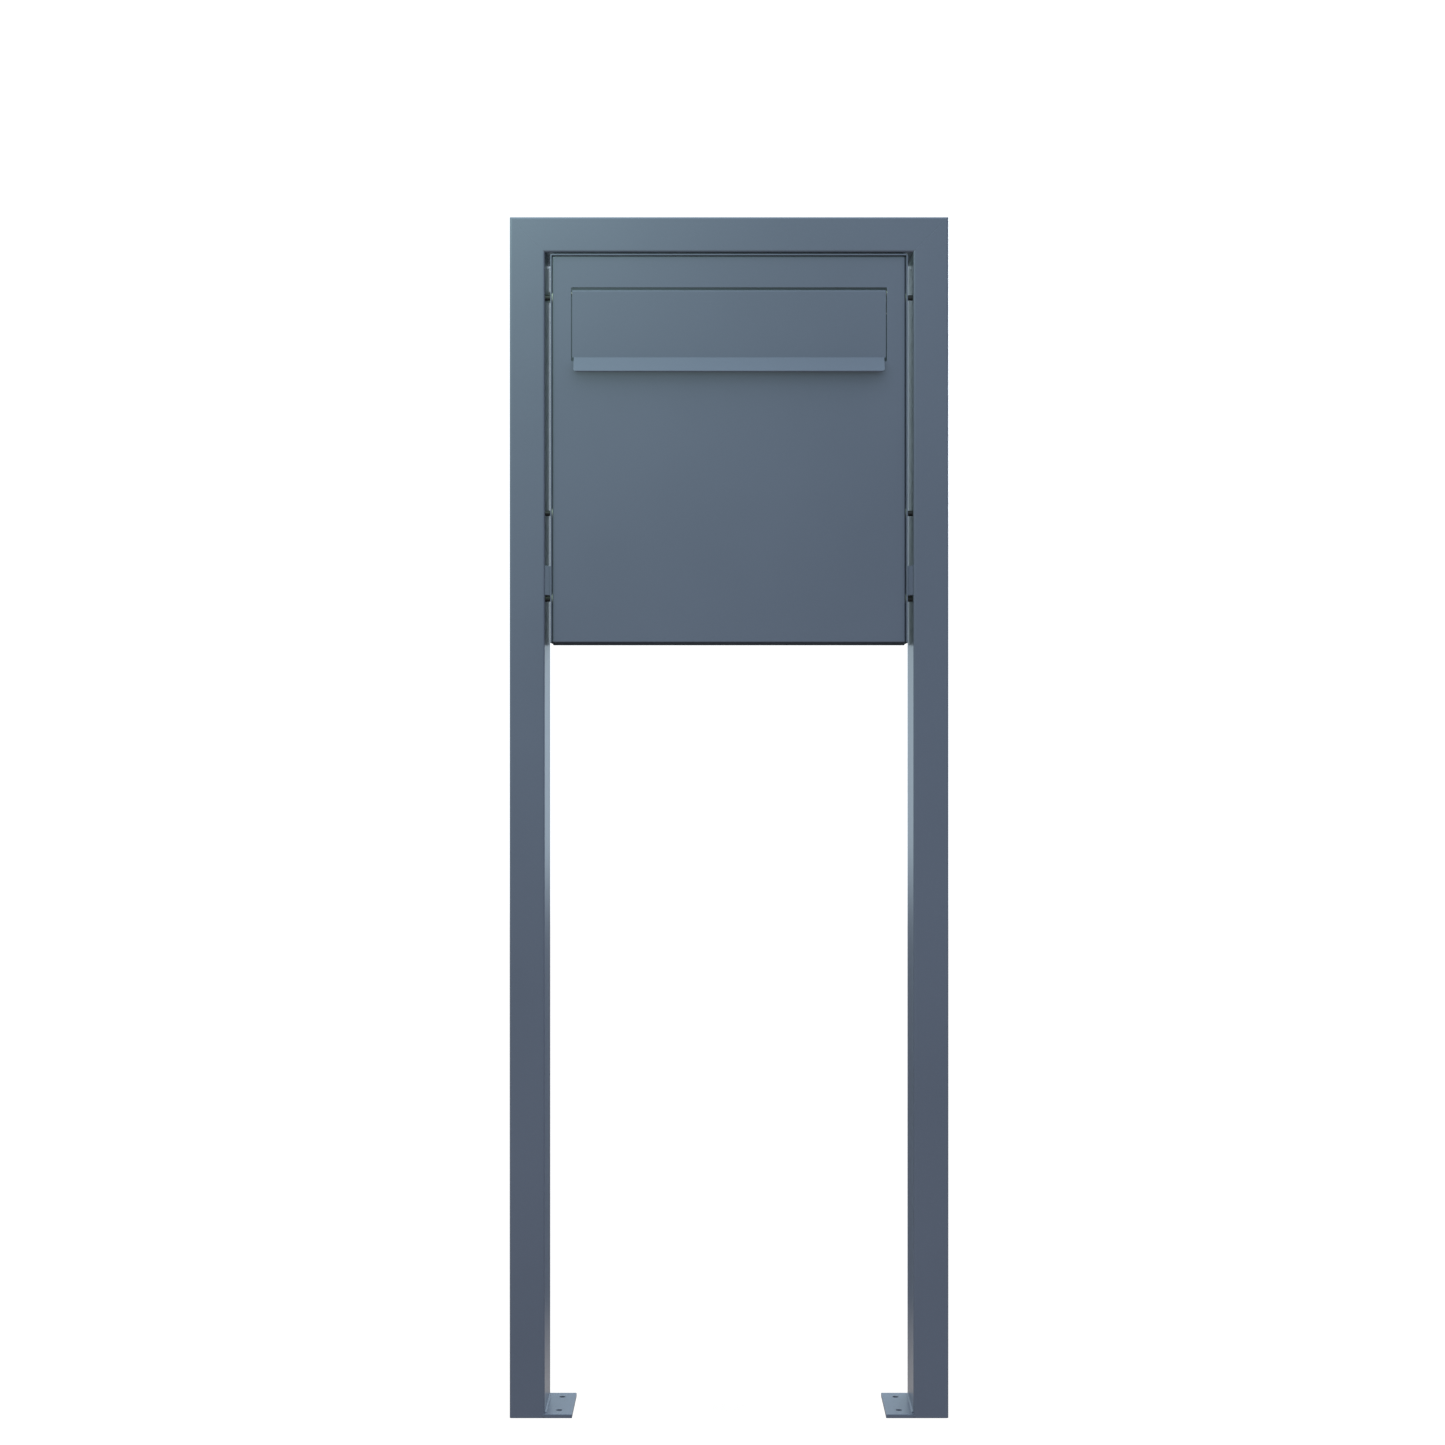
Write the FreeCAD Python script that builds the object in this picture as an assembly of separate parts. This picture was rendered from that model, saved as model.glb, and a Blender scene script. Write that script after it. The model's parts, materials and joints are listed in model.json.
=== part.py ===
import FreeCAD, Part
import math
import os

# Free-standing post box: a sheet-metal casing hung inside a welded portal frame.
# Millimetres, +Z up, the front faces -Y. The origin is on the floor, in the middle of the anchor holes.

# ---------------------------------------------------------------- driving dimensions
# Portal frame
overall_width = 475.0
overall_height = 1300.0
frame_depth = 100.0
post_width = 38.0
beam_height = 38.0
tube_wall = 2.0
tube_corner_radius = 2.5

# Base plates, welded to the inner side of each post
plate_projection = 29.5
plate_thickness = 4.0
plate_edge_radius = 0.8
anchor_hole_radius = 3.5
anchor_from_post = 14.5
anchor_from_plate_end = 20.0

# Plastic inserts that close the open feet of the posts
plug_height = 22.0
plug_wall = 3.0
plug_clearance = 0.1

# Casing, hung between the posts
side_gap = 6.0
top_gap = 2.0
casing_height = 421.0
casing_sheet = 1.5
casing_bend = 0.8
sheet_edge_radius = 0.35
return_flange = 12.0

# Front panel, set back in the casing and folded under it as the floor
panel_gap = 0.6
panel_recess = 3.0
panel_sheet = 1.5
panel_bend = 0.7
panel_flange = 24.0
floor_upstand = 10.0
drain_hole_radius = 3.0
drain_from_side = 45.0
drain_from_rear = 22.0

# Letter flap and the opening it fills
opening_width = 342.0
opening_height = 80.0
opening_below_top = 36.0
opening_corner_radius = 1.0
flap_side_gap = 1.0
flap_top_gap = 2.1
flap_recess = 0.5
flap_sheet = 1.5
flap_flat_height = 73.7
flap_bend = 1.2
lip_drop = 16.0
lip_angle = 40.0
lip_inset = 1.8
lip_corner_radius = 2.5
rod_radius = 2.0
rod_clearance = 0.05
barrel_wall = 1.5
rod_depth = 6.5

# Slot frame, the tray behind the flap that carries the rod and has the letter slot in it
slot_sheet = 1.2
slot_tray_depth = 11.7
slot_end_space = 7.0
slot_tray_margin = 6.0
slot_rim = 8.0
slot_width = 328.0
slot_height = 35.0
slot_below_opening_top = 27.0
slot_corner_radius = 3.0
ramp_overlap = 8.0
ramp_reach = 26.0
ramp_drop = 22.0
ramp_side_margin = 6.0

# Rod bushes, clips, spring and buffers
bush_flange_radius = 3.7
bush_flange_thickness = 1.6
bush_spigot_radius = 3.0
clip_radius = 4.0
clip_thickness = 0.8
spring_wire_radius = 0.45
spring_mean_radius = 4.3
spring_turns = 3.5
spring_pitch = 1.15
spring_leg_length = 22.0
spring_arm_length = 14.0
spring_arm_bend = 1.5
buffer_radius = 4.0
buffer_gap = 0.3
buffer_from_side = 40.0
buffer_above_opening = 7.0

# Screws that hold the casing to the posts, through the side gaps
casing_screw_from_front = 12.0
casing_screw_below_top = 46.0
casing_screw_above_bottom = 48.0
casing_screw_pitch = 93.0
casing_screw_radius = 2.0
casing_screw_head_radius = 4.0
casing_screw_head_height = 2.4
spacer_radius = 3.0
washer_radius = 4.5
washer_thickness = 0.8
shim_radius = 5.0
rivet_nut_radius = 3.0
rivet_nut_length = 11.0
hole_clearance = 0.25
thread_clearance = 0.05

# Hanger blocks, welded to the posts, that carry the casing
hanger_bottom_above_casing = 51.5
hanger_height = 32.0
hanger_from_front = 2.5
hanger_depth = 87.5
hanger_edge_radius = 0.8
hanger_screw_radius = 2.5
hanger_screw_head_radius = 4.75
hanger_screw_head_height = 2.8
hanger_screw_pitch = 22.0

# Rear door, which laps over the casing's edges
door_sheet = 1.5
door_gap = 1.0
door_lap = 2.7
door_edge_radius = 0.5
stiffener_depth = 8.0
stiffener_clearance = 2.5
stiffener_sheet = 1.2
stiffener_foot = 10.0
seal_width = 8.0
seal_clearance = 0.1

# Door hinges, on the rear faces of the left post and the door
hinge_leaf_length = 36.0
post_leaf_width = 17.0
door_leaf_width = 35.0
hinge_leaf_sheet = 1.5
leaf_corner_radius = 3.0
hinge_knuckle_radius = 3.0
hinge_pin_radius = 1.5
hinge_pin_clearance = 0.05
hinge_knuckle_gap = 0.4
hinge_behind_post = 0.5
hinge_above_screws = 14.0
hinge_pin_head_radius = 2.4
hinge_pin_head_height = 1.0
rivet_radius = 2.0
rivet_head_radius = 3.8
rivet_head_height = 1.1
rivet_head_round = 1.0
rivet_pitch = 20.0
rivet_from_leaf_end = 7.0
rivet_tail_radius = 2.6
rivet_tail_length = 3.0

# Cam lock in the free side of the rear door
lock_from_door_edge = 41.0
lock_head_radius = 12.0
lock_head_height = 3.0
lock_body_radius = 9.4
lock_body_length = 17.7
lock_hole_clearance = 0.15
lock_nut_across_flats = 24.0
lock_nut_thickness = 4.0
plug_radius = 6.0
plug_running_clearance = 0.05
plug_recess = 0.5
key_slot_width = 1.8
key_slot_length = 7.5
key_slot_depth = 8.0
tang_side = 7.0
cam_thickness = 2.0
cam_width = 15.0
cam_length = 36.0
cam_corner_radius = 4.5
cam_screw_radius = 2.5
cam_screw_head_radius = 4.8
cam_screw_head_height = 2.2
keeper_gap = 0.3
keeper_sheet = 2.0
keeper_height = 44.0
keeper_reach = 12.0
keeper_foot = 10.0

# ---------------------------------------------------------------- places worked out from them
front_y = -frame_depth / 2
rear_y = frame_depth / 2
half_span = overall_width / 2 - post_width
casing_half = half_span - side_gap
casing_top = overall_height - beam_height - top_gap
casing_bottom = casing_top - casing_height
casing_inside = casing_half - casing_sheet
casing_rear = rear_y - door_sheet - door_gap
casing_middle_z = (casing_top + casing_bottom) / 2
panel_half = casing_inside - panel_gap
panel_top = casing_top - casing_sheet - panel_gap
panel_front = front_y + panel_recess
panel_back = panel_front + panel_sheet
panel_flange_inside = panel_half - panel_sheet
opening_top = casing_top - opening_below_top
opening_bottom = opening_top - opening_height
flap_half = opening_width / 2 - flap_side_gap
flap_top = opening_top - flap_top_gap
flap_front = panel_front + flap_recess
flap_back = flap_front + flap_sheet
barrel_radius = rod_radius + rod_clearance + barrel_wall
rod_y = flap_front + rod_depth
rod_z = flap_top - barrel_radius
tray_half = flap_half + slot_end_space
tray_top = opening_top + slot_tray_margin
tray_bottom = opening_bottom - slot_tray_margin
tray_back = panel_back + slot_tray_depth
tray_plate_front = tray_back - slot_sheet
slot_top = opening_top - slot_below_opening_top
slot_bottom = slot_top - slot_height
casing_screw_y = front_y + casing_screw_from_front
lowest_screw_z = casing_bottom + casing_screw_above_bottom
casing_screw_heights = [
    casing_top - casing_screw_below_top,
    lowest_screw_z + casing_screw_pitch,
    lowest_screw_z,
]
hanger_front = front_y + hanger_from_front
hanger_back = hanger_front + hanger_depth
hanger_bottom = casing_bottom + hanger_bottom_above_casing
hanger_top = hanger_bottom + hanger_height
door_half = casing_half + door_lap
door_front = rear_y - door_sheet
hinge_x = -(half_span + hinge_knuckle_radius + hinge_behind_post)
hinge_y = rear_y + hinge_knuckle_radius
end_screw_heights = (max(casing_screw_heights), min(casing_screw_heights))
hinge_heights = [height + hinge_above_screws for height in end_screw_heights]
lock_x = door_half - lock_from_door_edge
lock_z = casing_middle_z
lock_inner_end = rear_y - lock_body_length
cam_back = lock_inner_end - keeper_gap
cam_front = cam_back - cam_thickness

AXES = {
    "x": FreeCAD.Vector(1, 0, 0),
    "y": FreeCAD.Vector(0, 1, 0),
    "z": FreeCAD.Vector(0, 0, 1),
}
SIDES = {"left": -1, "right": 1}
SAME_PLACE = 1e-6


# ---------------------------------------------------------------- shape helpers
def span_box(x_span, y_span, z_span):
    """A box between two limits on each axis, given in any order."""
    low = FreeCAD.Vector(min(x_span), min(y_span), min(z_span))
    high = FreeCAD.Vector(max(x_span), max(y_span), max(z_span))
    size = high - low
    return Part.makeBox(size.x, size.y, size.z, low)


def rod_along(axis, centre, radius, start, end):
    """A cylinder along an axis, from start to end, through the other two coordinates of centre."""
    base = FreeCAD.Vector(*centre)
    setattr(base, axis, min(start, end))
    return Part.makeCylinder(radius, abs(end - start), base, AXES[axis])


def tube_along(axis, centre, radius, bore, start, end):
    """A ring or sleeve along an axis."""
    outer = rod_along(axis, centre, radius, start, end)
    return outer.cut(rod_along(axis, centre, bore, start, end))


def edges_along(shape, axis):
    """The straight edges of a box that run along an axis."""
    direction = AXES[axis]
    found = []
    for edge in shape.Edges:
        run = edge.lastVertex().Point - edge.firstVertex().Point
        if run.Length > SAME_PLACE and run.cross(direction).Length < SAME_PLACE:
            found.append(edge)
    return found


def edges_at(shape, axis, value):
    """The edges of a box that lie in the plane where an axis has a value."""
    found = []
    for edge in shape.Edges:
        ends = [getattr(vertex.Point, axis) for vertex in edge.Vertexes]
        if all(abs(end - value) < SAME_PLACE for end in ends):
            found.append(edge)
    return found


def fuse_all(shapes):
    """One solid from shapes that touch or overlap."""
    return shapes[0].multiFuse(shapes[1:]).removeSplitter()


def offset_path(path, distance):
    """The same path of (u, v) points, moved to its left by a distance."""
    moved = []
    last = len(path) - 1
    for index, (u, v) in enumerate(path):
        normals = []
        for start, end in ((index - 1, index), (index, index + 1)):
            if start < 0 or end > last:
                continue
            run_u = path[end][0] - path[start][0]
            run_v = path[end][1] - path[start][1]
            length = math.hypot(run_u, run_v)
            normals.append((-run_v / length, run_u / length))
        sum_u = sum(normal[0] for normal in normals)
        sum_v = sum(normal[1] for normal in normals)
        reach = distance * len(normals) / (sum_u * normals[0][0] + sum_v * normals[0][1])
        reach /= len(normals)
        moved.append((u + sum_u * reach, v + sum_v * reach))
    return moved


def to_space(axis, u, v, along):
    """The point (u, v) of a section that is extruded along an axis."""
    order = {"x": (along, u, v), "y": (u, along, v), "z": (u, v, along)}
    return FreeCAD.Vector(*order[axis])


def extruded(axis, outline, start, end):
    """A closed (u, v) outline extruded along an axis."""
    points = [to_space(axis, u, v, start) for u, v in outline]
    face = Part.Face(Part.makePolygon(points + points[:1]))
    return face.extrude(AXES[axis] * (end - start))


def folded_sheet(axis, path, sheet, bend, start, end):
    """A sheet whose first side follows a path and whose thickness lies to the path's left.

    Each fold has the inner radius bend and the outer radius bend plus the thickness.
    """
    inner = offset_path(path, sheet)
    solid = extruded(axis, path + inner[::-1], start, end)
    for index in range(1, len(path) - 1):
        before_u = path[index][0] - path[index - 1][0]
        before_v = path[index][1] - path[index - 1][1]
        after_u = path[index + 1][0] - path[index][0]
        after_v = path[index + 1][1] - path[index][1]
        turns_left = before_u * after_v - before_v * after_u > 0
        corner_radii = ((path[index], turns_left), (inner[index], not turns_left))
        for (u, v), is_outer in corner_radii:
            corner = to_space(axis, u, v, start)
            radius = bend + sheet if is_outer else bend
            for edge in edges_along(solid, axis):
                if any(vertex.Point.distanceToPoint(corner) < SAME_PLACE for vertex in edge.Vertexes):
                    solid = solid.makeFillet(radius, [edge])
                    break
    return solid


def rounded_window(x_half, z_span, y_span, radius):
    """A cutter for a window with rounded corners, centred on x = 0."""
    cutter = span_box((-x_half, x_half), y_span, z_span)
    return cutter.makeFillet(radius, edges_along(cutter, "y"))


def hexagon_along(axis, centre_u, centre_v, across_flats, start, end):
    """A hexagonal prism along an axis."""
    corner_radius = across_flats / math.sqrt(3)
    outline = []
    for corner in range(6):
        angle = math.radians(60 * corner)
        corner_u = centre_u + corner_radius * math.cos(angle)
        corner_v = centre_v + corner_radius * math.sin(angle)
        outline.append((corner_u, corner_v))
    return extruded(axis, outline, start, end)


def hex_socket(centre, across_flats, start, end):
    """A cutter for the hexagonal socket in the head of a screw that lies along X."""
    return hexagon_along("x", centre[1], centre[2], across_flats, start, end)


# ---------------------------------------------------------------- portal frame
def tube_bar(axis, x_span, y_span, z_span):
    """A rectangular tube along an axis, with rounded long edges."""
    spans = {"x": x_span, "y": y_span, "z": z_span}
    outer = span_box(x_span, y_span, z_span)
    outer = outer.makeFillet(tube_corner_radius, edges_along(outer, axis))
    inner_spans = []
    for name in "xyz":
        inset = 0 if name == axis else tube_wall
        inner_spans.append((min(spans[name]) + inset, max(spans[name]) - inset))
    return outer.cut(span_box(*inner_spans))


def mitre_solid(outline):
    """A wedge through the whole depth that keeps one member of the frame up to its mitres."""
    return extruded("y", outline, front_y, rear_y)


def make_post(side):
    """One post, mitred at its top."""
    outside = side * overall_width / 2
    inside = side * half_span
    bar = tube_bar("z", (outside, inside), (front_y, rear_y), (0, overall_height))
    under_beam = overall_height - beam_height
    keep = mitre_solid([(outside, 0), (inside, 0), (inside, under_beam), (outside, overall_height)])
    spacer_holes = []
    wall_inside = side * (half_span + tube_wall)
    for height in casing_screw_heights:
        centre = (0, casing_screw_y, height)
        spacer_holes.append(rod_along("x", centre, rivet_nut_radius, side * half_span, wall_inside))
    post = bar.common(keep).cut(Part.makeCompound(spacer_holes))
    if side * hinge_x > 0:
        post = post.cut(Part.makeCompound(leaf_rivet_holes(-1, rear_y - tube_wall)))
    return post


def make_top_beam():
    """The cross member, mitred at both ends."""
    half_width = overall_width / 2
    under_beam = overall_height - beam_height
    bar = tube_bar("x", (-half_width, half_width), (front_y, rear_y), (under_beam, overall_height))
    outline = [
        (-half_width, overall_height),
        (-half_span, under_beam),
        (half_span, under_beam),
        (half_width, overall_height),
    ]
    return bar.common(mitre_solid(outline))


def make_base_plate(side):
    """A flat plate beside the foot of one post, with two anchor holes."""
    inner_end = side * (half_span - plate_projection)
    plate = span_box((side * half_span, inner_end), (front_y, rear_y), (0, plate_thickness))
    off_post = [edge for edge in plate.Edges if abs(edge.CenterOfMass.x) < half_span - SAME_PLACE]
    free_edges = [edge for edge in off_post if edge.CenterOfMass.z > SAME_PLACE]
    plate = plate.makeFillet(plate_edge_radius, free_edges)
    hole_x = side * (half_span - anchor_from_post)
    for hole_y in (front_y + anchor_from_plate_end, rear_y - anchor_from_plate_end):
        plate = plate.cut(rod_along("z", (hole_x, hole_y, 0), anchor_hole_radius, 0, plate_thickness))
    return plate


def make_foot_plug(side):
    """A plastic cup pushed into the open foot of one post."""
    inset = tube_wall + plug_clearance
    x_span = (side * (half_span + inset), side * (overall_width / 2 - inset))
    y_span = (front_y + inset, rear_y - inset)
    outer = span_box(x_span, y_span, (0, plug_height))
    hollow_x = (min(x_span) + plug_wall, max(x_span) - plug_wall)
    hollow_y = (min(y_span) + plug_wall, max(y_span) - plug_wall)
    return outer.cut(span_box(hollow_x, hollow_y, (plug_wall, plug_height)))


def make_hanger(side):
    """A block that fills the side gap, welded to the post and screwed to the casing."""
    x_span = (side * casing_half, side * half_span)
    block = span_box(x_span, (hanger_front, hanger_back), (hanger_bottom, hanger_top))
    block = block.makeFillet(hanger_edge_radius, edges_along(block, "x"))
    return block.cut(Part.makeCompound(hanger_screw_bores(side, hanger_screw_radius + thread_clearance)))


def hanger_screw_places():
    """The (y, z) centres of the two screws in a hanger block."""
    middle_y = (hanger_front + hanger_back) / 2
    middle_z = (hanger_bottom + hanger_top) / 2
    return [(middle_y + sign * hanger_screw_pitch / 2, middle_z) for sign in (-1, 1)]


def hanger_screw_bores(side, radius):
    """Cutters for the hanger screws, from inside the casing to the post."""
    bores = []
    for y, z in hanger_screw_places():
        bores.append(rod_along("x", (0, y, z), radius, side * casing_inside, side * half_span))
    return bores


# ---------------------------------------------------------------- casing
def casing_screw_bores(side, radius, start, end):
    """Cutters for the three screws of one side, between two distances from the middle."""
    bores = []
    for height in casing_screw_heights:
        bores.append(rod_along("x", (0, casing_screw_y, height), radius, side * start, side * end))
    return bores


def hood_block(half_width, rear, top, bend):
    """A block with the hood's outline, rounded at its rear edges and along its two top folds."""
    low = casing_bottom - return_flange
    block = span_box((-half_width, half_width), (front_y, rear), (low, top))
    folds = edges_at(block, "y", rear) + edges_along(block, "y")
    upper_folds = [edge for edge in folds if edge.BoundBox.ZMax > casing_bottom]
    return block.makeFillet(bend, upper_folds)


def make_casing_hood():
    """The top and both sides in one folded sheet, with a return flange round the rear opening."""
    outer = hood_block(casing_half, casing_rear, casing_top, casing_bend + casing_sheet)
    flange_front = casing_rear - casing_sheet
    inner = hood_block(casing_inside, flange_front, casing_top - casing_sheet, casing_bend)
    below = span_box((-casing_half, casing_half), (front_y, casing_rear), (0, casing_bottom))
    opening_half = casing_inside - return_flange
    opening_ceiling = casing_top - casing_sheet - return_flange
    rear_opening = span_box(
        (-opening_half, opening_half),
        (flange_front, casing_rear),
        (casing_bottom, opening_ceiling),
    )
    hood = outer.cut(inner).cut(below).cut(rear_opening)
    hood = hood.makeFillet(sheet_edge_radius, edges_at(hood, "y", front_y))
    upstand_top = casing_bottom + panel_sheet + floor_upstand
    foot_x = opening_half - hole_clearance
    foot_y = (flange_front - casing_bend, casing_rear)
    foot_z = (casing_bottom, upstand_top + hole_clearance)
    screw_hole = casing_screw_radius + hole_clearance
    hanger_hole = hanger_screw_radius + hole_clearance
    for side in SIDES.values():
        bores = casing_screw_bores(side, screw_hole, casing_inside, casing_half)
        hood = hood.cut(Part.makeCompound(bores))
        hood = hood.cut(Part.makeCompound(hanger_screw_bores(side, hanger_hole)))
        hood = hood.cut(span_box((side * casing_inside, side * foot_x), foot_y, foot_z))
    return hood


def make_front_panel():
    """Front sheet with side and top flanges, folded under at the bottom as the casing's floor."""
    x_span = (-panel_half, panel_half)
    outer = span_box(x_span, (panel_front, casing_rear), (casing_bottom, panel_top))
    front_edges = edges_at(outer, "y", panel_front)
    outer = outer.makeFillet(panel_bend + panel_sheet, front_edges + edges_along(outer, "y"))
    inner = span_box(
        (-panel_flange_inside, panel_flange_inside),
        (panel_back, casing_rear - panel_sheet),
        (casing_bottom + panel_sheet, panel_top - panel_sheet),
    )
    inner_front = edges_at(inner, "y", panel_back)
    inner = inner.makeFillet(panel_bend, inner_front + edges_along(inner, "y"))
    panel = outer.cut(inner)
    flange_end = panel_front + panel_flange
    upstand_top = casing_bottom + panel_sheet + floor_upstand
    panel = panel.cut(span_box(x_span, (flange_end, casing_rear), (upstand_top, panel_top)))
    window = rounded_window(
        opening_width / 2,
        (opening_bottom, opening_top),
        (panel_front, panel_back),
        opening_corner_radius,
    )
    panel = panel.cut(window)
    front_edges = edges_at(panel, "y", panel_front)
    window_rim = [edge for edge in front_edges if window.BoundBox.isInside(edge.CenterOfMass)]
    panel = panel.makeFillet(sheet_edge_radius, window_rim)
    floor_top = casing_bottom + panel_sheet
    screw_hole = casing_screw_radius + hole_clearance
    for side in SIDES.values():
        bores = casing_screw_bores(side, screw_hole, panel_flange_inside, panel_half)
        panel = panel.cut(Part.makeCompound(bores))
        for drain_y in (flange_end, casing_rear - drain_from_rear):
            centre = (side * (panel_half - drain_from_side), drain_y, 0)
            panel = panel.cut(rod_along("z", centre, drain_hole_radius, casing_bottom, floor_top))
    return panel


def make_slot_frame():
    """A shallow tray behind the flap, open to the front, with the letter slot in its back."""
    outer = span_box(
        (-tray_half - slot_sheet, tray_half + slot_sheet),
        (panel_back, tray_back),
        (tray_bottom - slot_sheet, tray_top + slot_sheet),
    )
    outer = outer.makeFillet(2 * slot_sheet, edges_at(outer, "y", tray_back) + edges_along(outer, "y"))
    inner = span_box((-tray_half, tray_half), (panel_back, tray_plate_front), (tray_bottom, tray_top))
    inner = inner.makeFillet(slot_sheet, edges_at(inner, "y", tray_plate_front) + edges_along(inner, "y"))
    rim_x = tray_half + slot_sheet + slot_rim
    rim = rounded_window(
        rim_x,
        (tray_bottom - slot_sheet - slot_rim, tray_top + slot_sheet + slot_rim),
        (panel_back, panel_back + slot_sheet),
        slot_corner_radius,
    )
    tray = fuse_all([outer, rim]).cut(inner)
    plate_y = (tray_plate_front, tray_back)
    tray = tray.cut(rounded_window(slot_width / 2, (slot_bottom, slot_top), plate_y, slot_corner_radius))
    centre = (0, rod_y, rod_z)
    for side in SIDES.values():
        wall_outside = side * (tray_half + slot_sheet)
        tray = tray.cut(rod_along("x", centre, bush_spigot_radius, side * tray_half, wall_outside))
    return tray


def make_letter_ramp():
    """A folded sheet that leads letters from the slot into the casing and down."""
    path = [
        (tray_back + ramp_reach, slot_bottom - ramp_drop),
        (tray_back, slot_bottom),
        (tray_back, slot_bottom - ramp_overlap),
    ]
    ramp_half = slot_width / 2 - ramp_side_margin
    return folded_sheet("x", path, slot_sheet, slot_sheet / 2, -ramp_half, ramp_half)


def make_lock_keeper():
    """An angle on the casing's right side that the cam turns in front of."""
    keeper_front = cam_back + keeper_gap
    path = [
        (casing_inside - keeper_reach, keeper_front),
        (casing_inside, keeper_front),
        (casing_inside, keeper_front + keeper_sheet + keeper_foot),
    ]
    low = lock_z - keeper_height / 2
    return folded_sheet("z", path, keeper_sheet, keeper_sheet / 2, low, low + keeper_height)


def make_door_seal():
    """A flat rubber ring on the rear edges of the casing."""
    outer_half = casing_inside - casing_bend
    inner_half = outer_half - seal_width
    low = casing_bottom + casing_sheet + casing_bend
    high = casing_top - casing_sheet - casing_bend
    y_span = (casing_rear, door_front - seal_clearance)
    ring = span_box((-outer_half, outer_half), y_span, (low, high))
    return ring.cut(span_box((-inner_half, inner_half), y_span, (low + seal_width, high - seal_width)))


# ---------------------------------------------------------------- fasteners of the casing
def along_casing_screws(piece):
    """One piece for each casing screw; piece gives a solid for a side and a centre."""
    solids = []
    for side in SIDES.values():
        for height in casing_screw_heights:
            solids.append(piece(side, (0, casing_screw_y, height)))
    return Part.makeCompound(solids)


def casing_screw(side, centre):
    """A pan-head screw from inside the casing into the post."""
    seat = panel_flange_inside - washer_thickness
    head_end = seat - casing_screw_head_height
    head = rod_along("x", centre, casing_screw_head_radius, side * head_end, side * seat)
    head = head.makeFillet(casing_screw_head_height / 2, edges_at(head, "x", side * head_end))
    tip = half_span + rivet_nut_length
    shank = rod_along("x", centre, casing_screw_radius, side * seat, side * tip)
    socket_end = head_end + casing_screw_radius
    socket = hex_socket(centre, casing_screw_radius, side * head_end, side * socket_end)
    return fuse_all([head, shank]).cut(socket)


def casing_washer(side, centre):
    """A washer under a casing screw's head."""
    bore = casing_screw_radius + thread_clearance
    start = panel_flange_inside - washer_thickness
    return tube_along("x", centre, washer_radius, bore, side * start, side * panel_flange_inside)


def panel_shim(side, centre):
    """A thin ring between the front panel's flange and the casing's side."""
    bore = casing_screw_radius + thread_clearance
    return tube_along("x", centre, shim_radius, bore, side * panel_half, side * casing_inside)


def gap_spacer(side, centre):
    """A black sleeve on the screw, across the gap between casing and post."""
    bore = casing_screw_radius + thread_clearance
    return tube_along("x", centre, spacer_radius, bore, side * casing_half, side * half_span)


def post_rivet_nut(side, centre):
    """A threaded insert in the post's inner wall."""
    bore = casing_screw_radius + thread_clearance
    end = half_span + rivet_nut_length
    return tube_along("x", centre, rivet_nut_radius, bore, side * half_span, side * end)


def make_hanger_screws():
    """Two pan-head screws on each side, through the casing's side into the hanger block."""
    solids = []
    for side in SIDES.values():
        for y, z in hanger_screw_places():
            centre = (0, y, z)
            head_end = casing_inside - hanger_screw_head_height
            head = rod_along("x", centre, hanger_screw_head_radius, side * head_end, side * casing_inside)
            head = head.makeFillet(hanger_screw_head_height / 2, edges_at(head, "x", side * head_end))
            shank = rod_along("x", centre, hanger_screw_radius, side * casing_inside, side * half_span)
            socket_end = head_end + hanger_screw_radius
            socket = hex_socket(centre, hanger_screw_radius, side * head_end, side * socket_end)
            solids.append(fuse_all([head, shank]).cut(socket))
    return Part.makeCompound(solids)


# ---------------------------------------------------------------- letter flap
def make_flap():
    """The flap: a barrel round the rod, a sheet folded down from it, and a lip that leans out."""
    fold_z = flap_top - flap_flat_height
    lip_reach = lip_drop * math.tan(math.radians(lip_angle))
    path = [
        (rod_y, flap_top),
        (flap_front, flap_top),
        (flap_front, fold_z),
        (flap_front - lip_reach, fold_z - lip_drop),
    ]
    sheet = folded_sheet("x", path, flap_sheet, flap_bend, -flap_half, flap_half)
    sheet = trim_lip(sheet, fold_z, lip_reach)
    centre = (0, rod_y, rod_z)
    barrel = rod_along("x", centre, barrel_radius, -flap_half, flap_half)
    bore = rod_along("x", centre, rod_radius + rod_clearance, -flap_half, flap_half)
    return fuse_all([sheet, barrel]).cut(bore)


def trim_lip(sheet, fold_z, lip_reach):
    """Set the lip's ends in from the flap's ends and round its lower corners."""
    lip_half = flap_half - lip_inset
    low = fold_z - lip_drop - flap_sheet
    front = flap_front - lip_reach - flap_sheet
    back = flap_back
    for side in SIDES.values():
        end = side * (flap_half + lip_inset)
        strip = span_box((side * lip_half, end), (front, back), (low, fold_z))
        corner_x = side * (lip_half - lip_corner_radius)
        corner_z = fold_z - lip_drop + lip_corner_radius
        square = span_box((corner_x, end), (front, back), (low, corner_z))
        round_part = rod_along("y", (corner_x, 0, corner_z), lip_corner_radius, front, back)
        sheet = sheet.cut(strip).cut(square.cut(round_part))
    return sheet


def make_flap_rod():
    """The rod that the flap turns on."""
    end = tray_half + slot_sheet + bush_flange_thickness + clip_thickness
    return rod_along("x", (0, rod_y, rod_z), rod_radius, -end, end)


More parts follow.
